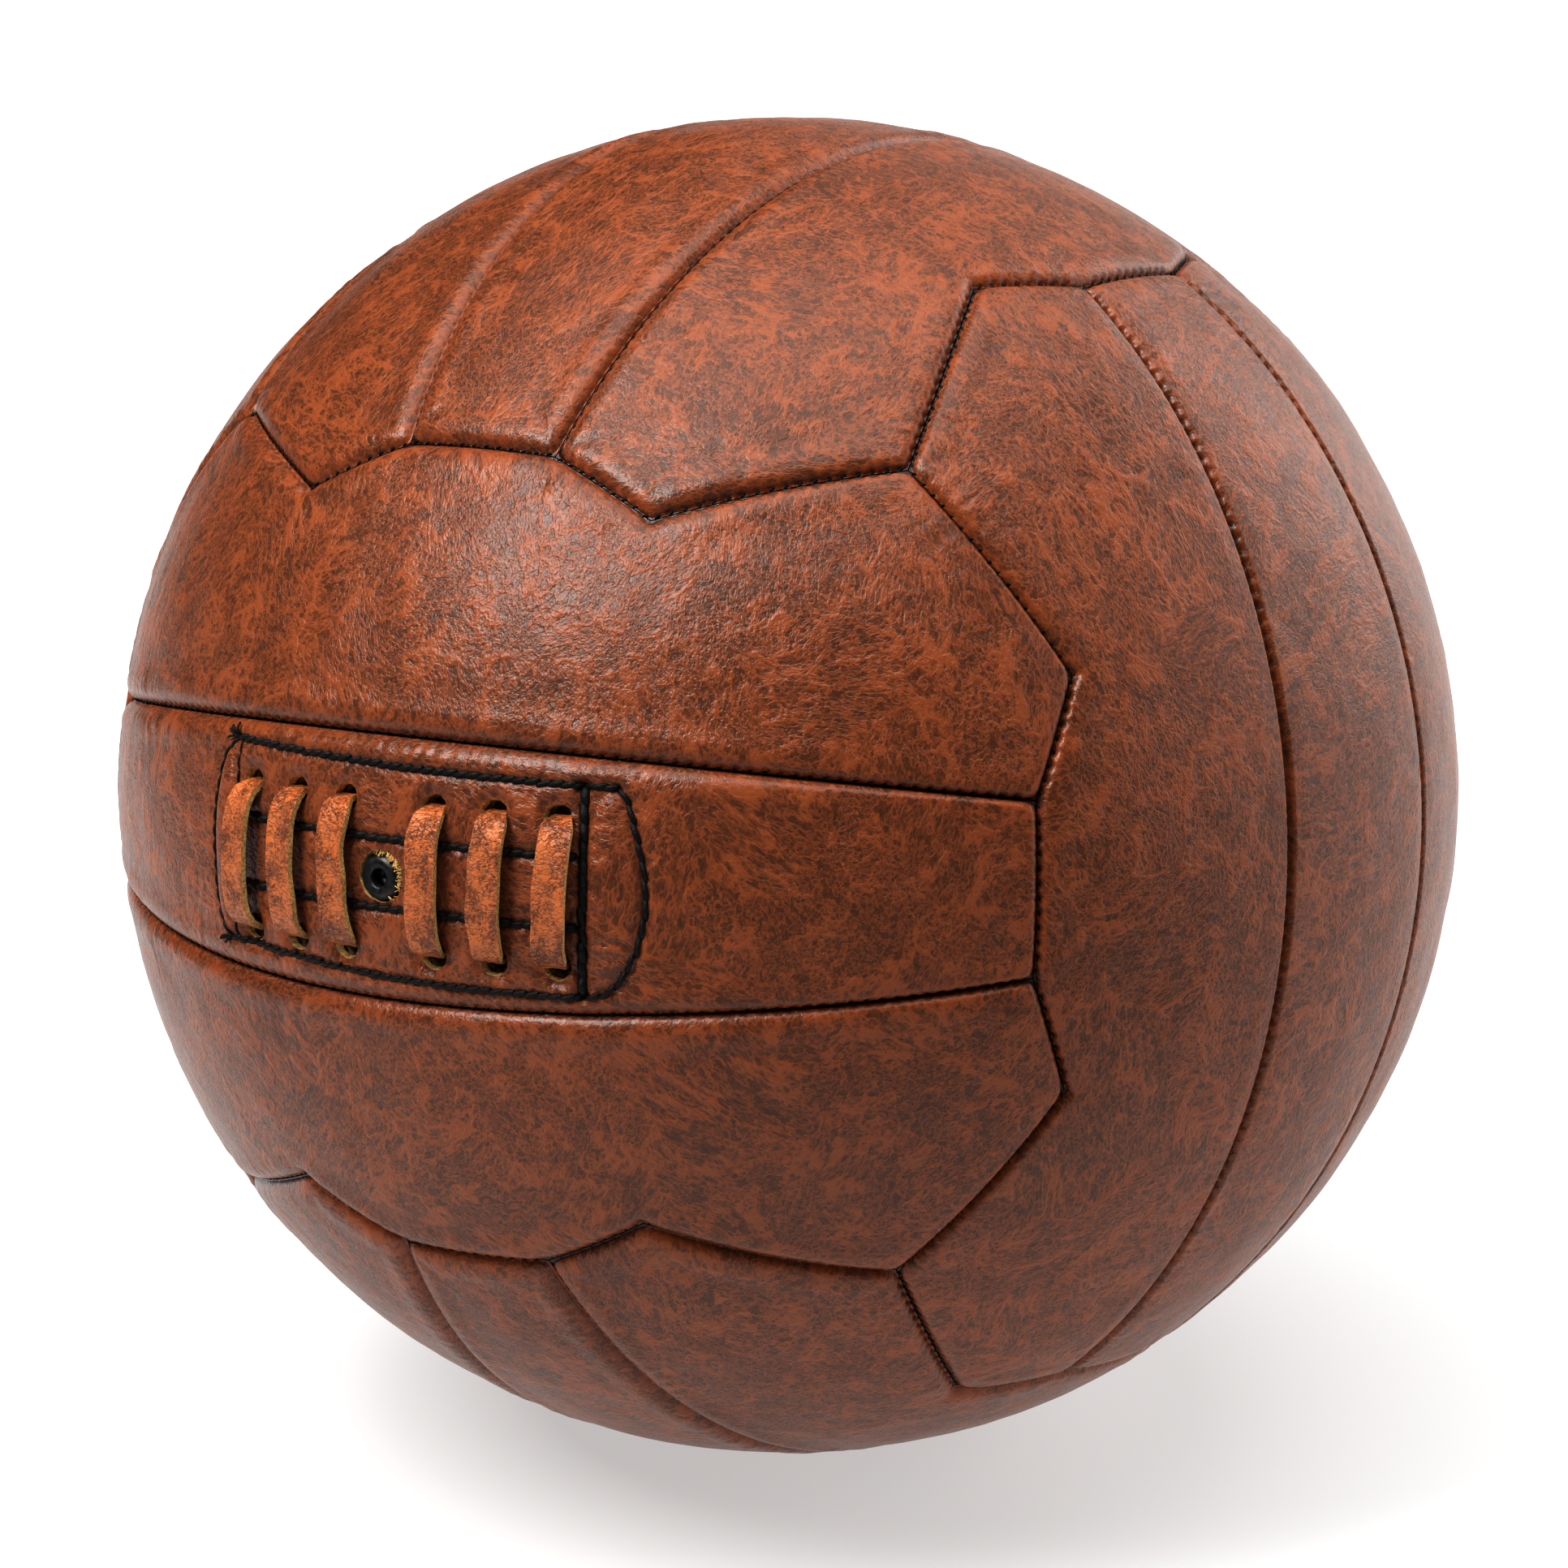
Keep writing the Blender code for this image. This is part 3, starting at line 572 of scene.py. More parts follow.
def add_covers(leather, raw_edge):
    """The 18 cover strips."""
    outer = StripKind(False, graded(OUTER_GRID[0]), graded(OUTER_GRID[1]))
    middle = StripKind(True, graded(MIDDLE_GRID[0]), graded(MIDDLE_GRID[1]))
    laced = StripKind(True, laced_shares(), graded(LACED_GRID[1], 0.35))
    seed = STRIP_SEED
    for name, basis, is_middle in all_strips():
        seed += STRIP_SEED_STEP
        kind, extra = middle if is_middle else outer, None
        if name == "front_middle":
            kind, extra = laced, mouth_relief
        outside = kind.outside(basis, seed, extra)
        inner = turned_outline(Outline(is_middle).inset(INNER_INSET), basis)
        shell = closed_shell(outside, inner, kind.shares, COVER_RIM, COVER_INSIDE, INNER_STRIDE)
        slots = [leather, raw_edge]
        piece = make_piece(f"strip_{name}", *shell, slots, [f"cover_{name}"], smooth_angle=60)
        if name == "front_middle":
            punch_holes(piece, raw_edge)
        paint_cover(piece, kind, basis, seed)


# The laced mouth


def front_place(x, z, radius):
    """Points over the front face, x to the right and z up along the skin, in the ball's axes."""
    along, across = np.asarray(x) / RADIUS, np.asarray(z) / RADIUS
    flat = np.stack([np.sin(along) * np.cos(across), np.sin(across), np.cos(along) * np.cos(across)], -1)
    return flat * np.asarray(radius)[..., None]


def mouth_place(x, z, radius):
    """The same, measured from the mouth's own centre."""
    return front_place(MOUTH_X + np.asarray(x), MOUTH_Z + np.asarray(z), radius)


def mouth_flat(directions):
    """Unit vectors over the front face as (x, z) from the mouth's centre."""
    x = np.arctan2(directions[:, 0], directions[:, 2]) * RADIUS - MOUTH_X
    z = np.arcsin(np.clip(directions[:, 1], -1, 1)) * RADIUS - MOUTH_Z
    return np.stack([x, z], -1)


def laced_shares():
    """Shares along the laced strip, close together over the mouth."""
    even = np.linspace(0, 1, 4001)
    x = (even - 0.5) * 2 * MIDDLE_END[0] * RADIUS
    at_mouth = smooth_step(-np.abs(x - MOUTH_X), -52, -40)
    at_ends = smooth_step(np.abs(even - 0.5), 0.485, 0.5)
    density = 1 + 2.6 * at_mouth + 1.2 * at_ends
    filled = np.concatenate([[0], np.cumsum((density[1:] + density[:-1]) / 2)])
    return np.interp(np.linspace(0, filled[-1], LACED_GRID[0] + 1), filled, even)


def stitch_lines():
    """The mouth's stitched lines: name to points (x, z) from the mouth's centre."""
    half, wide = FRAME_HALF_LENGTH, FRAME_HALF_WIDTH
    corners = {
        "top": ((-half - 0.8, wide + 1.1), (-12, wide + 0.7), (12, wide + 0.2), (half + 5.4, wide - 0.2)),
        "bottom": ((-half - 2.0, -wide + 2.4), (-14, -wide + 1.2), (10, -wide + 0.1), (half, -wide)),
        "end_left": ((-half + 0.4, wide + 0.8), (-half + 0.1, 4), (-half - 0.4, -wide + 2.6)),
        "end_right": ((half, wide - 0.4), (half + 0.3, 0), (half - 0.2, -wide + 0.5)),
        "inner_upper": ((-half + 1.6, INNER_ROW + 0.3), (half - 1.0, INNER_ROW - 0.2)),
        "inner_lower": ((-half + 1.6, -INNER_ROW + 0.6), (half - 1.0, -INNER_ROW)),
        "curve_right": (
            (half + 5.6, wide - 0.4), (half + 6.9, 14.6), (half + 8.2, 10.5), (half + 9.4, 6.0),
            (half + 10.1, 1.0), (half + 9.8, -4.0), (half + 8.7, -8.5), (half + 6.8, -12.6),
            (half + 3.8, -15.6), (half + 0.4, -wide - 0.1),
        ),
        "curve_left": (
            (-half - 0.8, wide + 1.0), (-half - 3.6, 14.4), (-half - 4.8, 10.0), (-half - 5.6, 4.0),
            (-half - 5.6, -3.0), (-half - 5.0, -8.5), (-half - 2.2, -wide + 2.6),
        ),
    }
    return {name: smooth_curve(np.array(points, float), 0.5) for name, points in corners.items()}


def mouth_relief(directions):
    """What the laced mouth adds to the cover's surface: pressed stitch lines, holes and ends."""
    flat = mouth_flat(directions)
    level = np.zeros(len(flat))
    near = (np.abs(flat) < MOUTH_REACH).all(-1)
    flat = flat[near]
    added = np.zeros(len(flat))
    for number, (name, line) in enumerate(stitch_lines().items()):
        pitch, _, _, _, _, press = STITCHES[name]
        gap, where, length = line_fields(flat, line)
        phase = 2 * np.pi * round(length / pitch) * where / length
        added -= press * bell(gap, 0, PRESS_WIDTH) * (1 + 0.2 * np.cos(phase))
        added += 0.08 * press * np.cos(phase) * bell(gap, PRESS_LIP, PRESS_LIP_WIDTH)
        fold = ripples(np.stack([where, gap * 0.3], -1), 2.4, MOUTH_FOLD_SEED + number)
        added += 0.2 * press * fold * smooth_step(gap, 0.9, 1.8) * np.exp(-gap / 3.0)
    for side, depth in END_BULGES:
        beyond = side * flat[:, 0] - FRAME_HALF_LENGTH
        bulge = np.clip(1 - ((2 * beyond / depth - 1) ** 2 + (flat[:, 1] / BULGE_HALF_WIDTH) ** 2), 0, 1)
        added += BULGE_HEIGHT * np.sqrt(bulge) * (beyond > 0)
    for x, z in HOLE_PLACES:
        gap = np.hypot(flat[:, 0] - x, flat[:, 1] - z)
        added -= HOLE_DISH * bell(np.maximum(gap - HOLE_RADIUS, 0), 0, 0.9)
        added += HOLE_LIP * bell(gap - HOLE_RADIUS, 2, 1.0)
    x, z = mouth_flat(VALVE_DIRECTION[None])[0]
    gap = np.hypot(flat[:, 0] - x, flat[:, 1] - z)
    added -= VALVE_DISH * bell(np.maximum(gap - VALVE_HOLE_RADIUS, 0), 0, 1.2)
    level[near] = added
    return level


def hole_frames():
    """Every hole through the laced strip: its centre's direction, its radius and its flare."""
    for x, z in HOLE_PLACES:
        yield mouth_place(x, z, 1.0), HOLE_RADIUS, HOLE_FLARE
    across, up = side_axes(VALVE_DIRECTION)
    worn = (across * VALVE_HOLE_WORN[0] + up * VALVE_HOLE_WORN[1]) / RADIUS
    yield unit(VALVE_DIRECTION + worn), VALVE_HOLE_RADIUS, VALVE_HOLE_FLARE


def side_axes(direction):
    """Two axes across a direction: to the ball's right and up."""
    across = unit(np.cross(TOP, direction))
    return across, np.cross(direction, across)


def ring_across(direction, turn):
    """Unit vectors at angles round a direction."""
    across, up = side_axes(direction)
    return np.cos(turn)[:, None] * across + np.sin(turn)[:, None] * up


def punch_holes(piece, wall):
    """Cut the lace holes and the valve hole, with walls of their own material."""
    sides = 56
    turn = round_turn(sides)
    circle = np.stack([np.cos(turn), np.sin(turn)], -1)
    below, above = 104.0, 113.0
    points, faces = [], []
    for number, (direction, radius, flare) in enumerate(hole_frames()):
        first = number * 2 * sides
        ragged = radius * (1 + 0.018 * ripples(circle * 3, 1.6, HOLE_SEED + number))
        ring = ring_across(direction, turn)
        for height in (below, above):
            spread = 1 + flare * (height - RADIUS)
            points.append(direction * height + ring * ragged[:, None] * spread)
        base = np.arange(sides) + first
        beside = np.roll(base, -1)
        faces.append(np.stack([base, beside, beside + sides, base + sides], -1))
        faces.append(base[None, ::-1])
        faces.append(base[None] + sides)
    cutter = make_piece("hole_cutter", np.concatenate(points), faces, [wall], None)
    cut = piece.modifiers.new("holes", "BOOLEAN")
    cut.object = cutter
    cut.operation = "DIFFERENCE"
    cut.solver = "EXACT"
    cut.material_mode = "TRANSFER"
    graph = bpy.context.evaluated_depsgraph_get()
    result = bpy.data.meshes.new_from_object(piece.evaluated_get(graph))
    piece.modifiers.clear()
    piece.data = result
    result.set_sharp_from_angle(angle=math.radians(50))
    bpy.data.objects.remove(cutter)


# Threads


def tube(points, radius, sides, closed, ups=None):
    """A round tube of points and faces along a path. radius is one number or one per point."""
    ahead = np.roll(points, -1, 0) - np.roll(points, 1, 0)
    if not closed:
        ahead[0], ahead[-1] = points[1] - points[0], points[-1] - points[-2]
    ahead = unit(ahead)
    up = unit(points) if ups is None else ups
    side = unit(np.cross(up, ahead))
    up = np.cross(ahead, side)
    turn = round_turn(sides)
    size = np.broadcast_to(radius, len(points))[:, None, None]
    ring = side[:, None] * np.cos(turn)[None, :, None] + up[:, None] * np.sin(turn)[None, :, None]
    skin = (points[:, None] + ring * size).reshape(-1, 3)
    faces = [grid_faces(len(points), sides, closed_rows=closed, closed_columns=True)]
    if not closed:
        faces.append(np.arange(sides)[None, ::-1])
        faces.append((np.arange(sides) + (len(points) - 1) * sides)[None])
    return skin, faces


def join(parts):
    """Several (points, faces) as one."""
    points, faces, first = [], [], 0
    for some, groups in parts:
        points.append(some)
        faces += [group + first for group in groups]
        first += len(some)
    return np.concatenate(points), faces


def lengths_along(line):
    """How far along a polyline each of its points is."""
    steps = np.linalg.norm(np.diff(line, axis=0), axis=1)
    return np.concatenate([[0], np.cumsum(steps)])


def at_lengths(line, marks, stations):
    """Places at given lengths along a polyline whose points are at the marks."""
    inside = np.clip(stations, 0, marks[-1])
    return np.stack([np.interp(inside, marks, column) for column in line.T], -1)


def resampled(line, count):
    """A polyline's points at even steps of its length."""
    marks = lengths_along(line)
    return at_lengths(line, marks, np.linspace(0, marks[-1], count))


def along_line(line, stations):
    """Places at given lengths along a polyline, with the direction ahead there."""
    marks = lengths_along(line)
    reach = 0.2
    behind, ahead = (at_lengths(line, marks, stations + shift) for shift in (-reach, reach))
    return at_lengths(line, marks, stations), unit(ahead - behind)


def sewn_path(line, pitch, slant, overlap, high, low, seed, shift=0.0):
    """A thread's path along a line on the ball: it arches over each stitch and dips between them.

    slant is how far a stitch crosses the line, overlap how far it reaches past its own pitch, and
    shift how far the arches lie to one side.
    """
    length = lengths_along(line)[-1]
    count = max(1, round(length / pitch))
    step = length / count
    t = np.array((0.0, 0.08, 0.2, 0.35, 0.5, 0.65, 0.8, 0.92, 1.0))
    number = np.arange(count)[:, None]
    along = (number + 0.5 + (t - 0.5)[None] * (1 + overlap)) * step
    draw = np.random.default_rng(seed)
    wobble = draw.normal(0, 0.05, (count, 1)) * pitch
    lean = slant * (1 + draw.normal(0, 0.15, (count, 1)))
    lift = np.sin(np.pi * t)[None] ** 0.55 * (1 + draw.normal(0, 0.06, (count, 1)))
    across = (t - 0.5)[None] * lean + wobble * 0.6 + shift * lift
    along, across, lift = along.ravel(), across.ravel(), lift.ravel()
    places, ahead = along_line(line, along)
    up = unit(places)
    side = np.cross(up, ahead)
    return places + side * across[:, None] + up * (low + (high - low) * lift)[:, None]


def seam_line(a, b, bow, level):
    """A seam as a fine polyline at a level."""
    count = max(3, math.ceil(math.acos(a @ b) * RADIUS / 0.5))
    return arc(a, b, np.linspace(0, 1, count + 1), bow) * level


def seam_thread(a, b, bow, basis, seed):
    """The thread of one seam, which shows in the notches of the seam's notched side."""
    line = seam_line(a, b, bow, SEAM_THREAD_LEVEL) @ basis
    middle = len(line) // 2
    side = np.cross(line[middle], line[middle + 1] - line[middle - 1])
    shift = SEAM_THREAD_SHIFT * np.sign(side @ NOTCH_SIDE)
    path = sewn_path(line, SEAM_PITCH, *SEAM_STITCH, seed, shift)
    return tube(path, SEAM_THREAD, 7, False)


def add_seam_threads(thread):
    """The stitches in the seams: a thread for each ring round a middle strip and each corner star."""
    seeds = itertools.count(SEAM_SEED + 1)
    for face in FACES:
        basis = strip_basis(face, "middle")
        parts = [seam_thread(*leg, basis, next(seeds)) for leg in Outline(True).legs()]
        piece = make_piece(f"seam_stitches_{face}", *join(parts), [thread], [f"thread_ring_{face}"])
    for names in itertools.product(("front", "back"), ("right", "left"), ("top", "bottom")):
        axes = [DIRECTIONS[name] for name in names]
        legs = []
        for normal, end, side in (axes, axes[1:] + axes[:1], axes[2:] + axes[:2]):
            point, tip = (sphere_place(angles, normal, end, side) for angles in (STRIP_POINT, MIDDLE_END))
            legs += [(unit(sum(axes)), point, None), (point, tip, None)]
        parts = [seam_thread(*leg, np.eye(3), next(seeds)) for leg in legs]
        name = "_".join(names)
        piece = make_piece(f"corner_stitches_{name}", *join(parts), [thread], [f"thread_star_{name}"])


def laced_level(directions):
    """The radius of the laced strip's outside, its mouth included, at unit vectors."""
    basis = strip_basis("front", "middle")
    local = directions @ basis.T
    legs = Outline(True).legs()
    fields = seam_fields(local * RADIUS, legs)
    return skin_level(local, fields, legs, basis, STRIP_SEED + STRIP_SEED_STEP) + mouth_relief(local)


def on_skin(flat, height):
    """Places over the mouth, given as (x, z), at a height over the skin there."""
    directions = mouth_place(flat[:, 0], flat[:, 1], np.ones(len(flat)))
    return directions * (laced_level(directions) + height)[:, None]


def loose_ends(place, spread, count, radius, seed):
    """Short thread ends that splay from a place (x, z) on the mouth."""
    draw = np.random.default_rng(seed)
    parts = []
    for _ in range(count):
        turn, length = draw.uniform(*spread), draw.uniform(1.0, 2.2)
        share = np.linspace(0, 1, 9)[:, None]
        bend = draw.normal(0, 0.5)
        ahead = np.array((math.cos(turn), math.sin(turn)))
        beside = np.array((-ahead[1], ahead[0]))
        flat = np.array(place) + ahead * share * length + beside * bend * share**2
        line = on_skin(flat, 0.25)
        parts.append(tube(line + unit(line) * (0.9 * share * (1 - 0.6 * share)), radius, 6, False))
    return parts


def add_mouth_stitches(thread):
    """The topstitching of the laced mouth, with a tuft and a tail where the thread starts and ends."""
    lines = stitch_lines()
    groups = {
        "stitch_frame": ("top", "bottom", "curve_right", "curve_left"),
        "stitch_end_right": ("end_right",),
        "stitch_end_left": ("end_left",),
        "stitch_inner_upper": ("inner_upper",),
        "stitch_inner_lower": ("inner_lower",),
    }
    seeds = itertools.count(MOUTH_SEED + 1)
    for node, names in groups.items():
        parts = []
        for name in names:
            pitch, radius, slant, overlap, height, _ = STITCHES[name]
            line = on_skin(resampled(lines[name], 300), 0.0)
            path = sewn_path(line, pitch, slant, overlap, height, -0.55 * radius - 0.1, next(seeds))
            parts.append(tube(path, radius, 9, False))
        if node == "stitch_frame":
            parts += loose_ends(lines["top"][0], (1.0, 2.9), 5, 0.2, TUFT_SEED)
            parts += loose_ends(lines["bottom"][0], (2.6, 3.9), 4, 0.2, TAIL_SEED)
        piece = make_piece(node.replace("stitch", "topstitch"), *join(parts), [thread], [node])


# The lace


def lace_route():
    """The strap's centre line as rows of x, z, radius and squeeze: bars outside, runs inside."""
    under, deep, squeeze = 9.9, 105.6, 0.64
    dive = [
        (9.9, 111.15, 0.98), (10.7, 110.3, 0.86), (11.35, 109.0, squeeze), (11.5, 106.9, squeeze),
        (under, deep, squeeze),
    ]
    arch = [(7.6, 112.05, 1.0), (3.8, 112.45, 1.0), (0, 112.55, 1.0)]
    past_valve = [(-5.0, -8.2), (0, -7.6), (5.0, -8.2)]
    half = len(BAR_OFFSETS) // 2
    tail_x, tail_z = 4.0, 8.0
    route = [(BAR_OFFSETS[0] - tail_x, under - tail_z, deep, squeeze)]
    for number, x in enumerate(BAR_OFFSETS):
        start = 1 if number < half else -1
        if number == half:
            route += [(px, pz, deep, squeeze) for px, pz in past_valve]
        elif number:
            before = BAR_OFFSETS[number - 1]
            for share in (0.25, 0.5, 0.75):
                route.append((before + (x - before) * share, start * under * (2 * share - 1), deep, squeeze))
        lean = BAR_LEANS[number]
        high = [(z, radius, size) for z, radius, size in [*reversed(dive), *arch]]
        low = [(-z, radius, size) for z, radius, size in [*reversed(arch[:-1]), *dive]]
        for z, radius, size in high + low:
            shift = lean * start * z / under
            rise = BAR_RISES[number] * smooth_step(radius, 110, 112.6)
            route.append((x + shift, start * z, radius + rise, size))
    route.append((BAR_OFFSETS[-1] + tail_x, under - tail_z, deep, squeeze))
    route = np.array(route)
    route[:, 1] -= ROWS_LOWER
    return route


def smooth_curve(knots, step):
    """A Catmull-Rom curve through knots, at about even steps."""
    ends = np.concatenate([2 * knots[:1] - knots[1:2], knots, 2 * knots[-1:] - knots[-2:-1]])
    rows = []
    for i in range(len(knots) - 1):
        p0, p1, p2, p3 = ends[i:i + 4]
        count = max(2, math.ceil(np.linalg.norm((p2 - p1)[:3]) / step))
        t = (np.arange(count) / count)[:, None]
        square = (2 * p0 - 5 * p1 + 4 * p2 - p3) * t**2
        cube = (3 * p1 - p0 - 3 * p2 + p3) * t**3
        rows.append(0.5 * (2 * p1 + (p2 - p0) * t + square + cube))
    rows.append(knots[-1:])
    return np.concatenate(rows)


def strap_section():
    """The strap's section: (across, up) in half widths and half thicknesses, once round."""
    across = np.linspace(-1, 1, 21)
    over = np.stack([across, 1 - 0.25 * across**8], -1)
    under = np.stack([across[::-1], -1 + 0.25 * across[::-1] ** 8], -1)
    return np.concatenate([over, under])


def flipped_alike(vectors, first):
    """Vectors turned over where they point away from the one before."""
    before = first
    for i, here in enumerate(vectors):
        if here @ before < 0:
            vectors[i] = -here
        before = vectors[i]
    return vectors


def strap_axes(points):
    """The strap's own axes at its centre line's points: across it, and out of its face."""
    ahead = unit(np.gradient(points, axis=0))
    up = unit(points)
    steep = np.abs((up * ahead).sum(-1)) > 0.7
    side = np.cross(up, ahead)
    side[steep] = np.cross(TOP, up[steep])
    side = flipped_alike(unit(side - ahead * (side * ahead).sum(-1, keepdims=True)), RIGHT)
    reach = 4
    even = np.ones(2 * reach + 1) / (2 * reach + 1)
    side = unit(np.stack([np.convolve(np.pad(row, reach, mode="edge"), even, "valid") for row in side.T], -1))
    side = unit(side - ahead * (side * ahead).sum(-1, keepdims=True))
    deep = np.cross(ahead, side)
    deep *= np.sign((deep * up).sum(-1, keepdims=True) + 1e-9)
    return side, flipped_alike(deep, deep[0])


def add_lace(leather, raw_edge):
    """One flat leather strap, threaded through all twelve holes."""
    route = lace_route()
    places = mouth_place(route[:, 0], route[:, 1], route[:, 2])
    curve = smooth_curve(np.concatenate([places, route[:, 3:]], -1), 0.22)
    points, squeeze = curve[:, :3], curve[:, 3]
    side, deep = strap_axes(points)
    section = strap_section()
    walked = lengths_along(points)
    edge = ripples(walked[:, None], 12.0, LACE_EDGE_SEED)[:, None] * 0.09
    half_width = (LACE_WIDTH / 2 * squeeze)[:, None] * (1 + 0.2 * edge)
    half_depth = (LACE_THICKNESS / 2 * (0.75 + 0.25 * squeeze))[:, None]
    section_across, section_up = section.T[:, None]
    across = section_across * half_width + edge
    lift = section_up * half_depth - 0.2 * section_across**2
    spots = np.stack([np.broadcast_to(walked[:, None], across.shape), across * 0.35], -1)
    bar = smooth_step(np.linalg.norm(points, axis=1), 111.2, 112.2)[:, None]
    places_x = np.arctan2(points[:, 0], points[:, 2]) * RADIUS - MOUTH_X
    rumpled = 1 + 1.6 * smooth_step(places_x, 25, 28)[:, None]  # the last bar is the most creased
    fine, fold = ripples(spots, 1.3, LACE_FINE_SEED), ripples(spots, 3.0, LACE_FOLD_SEED)
    crease = (fine * 0.035 + fold * 0.05) * rumpled
    lift = lift + crease * (section_up > 0) * bar * (1 - section_across**2)
    skin = points[:, None] + side[:, None] * across[..., None] + deep[:, None] * lift[..., None]
    count = len(section)
    faces = [grid_faces(len(points), count, closed_columns=True)]
    slots = np.zeros(len(faces[0]))
    column = np.arange(len(faces[0])) % count
    half = count // 2
    slots[(column == half - 1) | (column == count - 1)] = 1
    faces.append(np.arange(count)[None, ::-1])
    faces.append((np.arange(count) + (len(points) - 1) * count)[None])
    slots = np.concatenate([slots, [1, 1]])
    skins = [leather, raw_edge]
    piece = make_piece("lace_strap", skin.reshape(-1, 3), faces, skins, ["lace"], slots, smooth_angle=45)
    flat = np.stack([np.broadcast_to(walked[:, None], across.shape), across, np.zeros_like(across)], -1)
    add_attribute(piece.data, "strap", "FLOAT_VECTOR", "vector", flat)


# The valve and what lies inside


def turned(profile, steps):
    """A closed profile of (distance from the axis, height) turned round the valve's axis."""
    ring = ring_across(VALVE_DIRECTION, round_turn(steps))
    points = ring[:, None] * profile[None, :, :1] + VALVE_DIRECTION * profile[None, :, 1:]
    return points.reshape(-1, 3), [grid_faces(steps, len(profile), closed_rows=True, closed_columns=True)]


def rounded_profile(corners, radii, steps=5):
    """A closed outline with each corner rounded by its own radius."""
    corners = np.asarray(corners, float)
    points = []
    for i, (corner, radius) in enumerate(zip(corners, radii, strict=True)):
        back = corners[i - 1] - corner
        ahead = corners[(i + 1) % len(corners)] - corner
        reach = min(radius, np.linalg.norm(back) * 0.48, np.linalg.norm(ahead) * 0.48)
        start, end = corner + unit(back) * reach, corner + unit(ahead) * reach
        for t in np.linspace(0, 1, steps):
            points.append(start * (1 - t) ** 2 + corner * 2 * t * (1 - t) + end * t**2)
    return np.array(points)


def add_valve(rubber):
    """The valve's flanged boot and the plug behind its mouth."""
    boot = [
        (1.45, 109.85), (2.7, 110.05), (3.6, 109.4), (3.6, 108.3), (3.35, 107.9), (3.35, 102.5),
        (9.0, 101.9), (9.0, 101.3), (2.4, 101.3), (2.4, 108.3), (1.45, 108.3),
    ]
    radii = [0.35, 0.6, 0.5, 0.4, 0.3, 0.6, 0.3, 0.2, 0.1, 0.1, 0.1]
    shape = turned(rounded_profile(boot, radii), 72)
    piece = make_piece("valve_ring", *shape, [rubber], ["valve_boot"], smooth_angle=50)
    plug = [(0.45, 107.6), (1.3, 108.0), (2.1, 107.5), (2.1, 101.8), (0.45, 101.8)]
    shape = turned(rounded_profile(plug, [0.2, 0.4, 0.4, 0.2, 0.1]), 48)
    piece = make_piece("valve_core", *shape, [rubber], ["valve_plug"], smooth_angle=50)


def add_frays(fibre):
    """Torn fibres of the leather's edge, which lie over the valve's upper right."""
    draw = np.random.default_rng(FRAY_SEED)
    share = np.linspace(0, 1, 8)
    parts = []
    for _ in range(110):
        turn = draw.normal(0.6, 0.55) + draw.normal(0, 0.14) * share
        reach = (VALVE_HOLE_RADIUS + 0.35 - draw.uniform(0.4, 1.3) * share)[:, None]
        height = (109.1 + draw.uniform(0.2, 0.9) * np.sin(share * 1.9))[:, None]
        line = VALVE_DIRECTION * height + ring_across(VALVE_DIRECTION, turn) * reach
        parts.append(tube(line, draw.uniform(0.05, 0.11), 6, False))
    piece = make_piece("valve_frays", *join(parts), [fibre], ["cover_front_middle"])


def add_linings(textile):
    """The textile behind each cover strip, as a smooth shell."""
    shares = [np.linspace(0, 1, count + 1) for count in LINING_GRID]
    for name, basis, is_middle in all_strips():
        skin = turned_outline(Outline(is_middle).inset(LINING_HALF_GAP), basis)
        outside = skin.sheet(*shares).reshape(-1, 3) * LINING_OUTSIDE
        inner = turned_outline(Outline(is_middle).inset(LINING_INSET), basis)
        shell = closed_shell(outside, inner, shares, LINING_RIM, LINING_INSIDE, LINING_STRIDE)
        piece = make_piece(f"backing_{name}", *shell, [textile], [f"lining_{name}"], smooth_angle=60)
        if name == "front_middle":
            punch_holes(piece, textile)


def add_bladder(butyl):
    """The bladder, open round the valve and pressed in under the mouth."""
    hole = math.asin(BLADDER_HOLE / (BLADDER_RADIUS - BLADDER_HOLLOW))
    angle = hole + (math.pi - 0.012 - hole) * np.linspace(0, 1, 97)
    pressed = BLADDER_RADIUS - BLADDER_HOLLOW * (1 - smooth_step(angle, 0.55, 0.75))
    slice_of_one = np.stack([np.sin(angle), np.cos(angle)], -1)
    outer = pressed[:, None] * slice_of_one
    inner = (pressed - BLADDER_THICKNESS)[:, None] * slice_of_one
    shape = turned(np.concatenate([outer, inner[::-1]]), 128)
    piece = make_piece("inner_bladder", *shape, [butyl], ["bladder"], smooth_angle=50)


def dress_tongue(cloth):
    """The CAD's own tongue, hidden but for what shows through the holes, in its cloth."""
    materials = frame["nodes"]["mouth_tongue"].data.materials
    materials.clear()
    materials.append(cloth)


# Materials


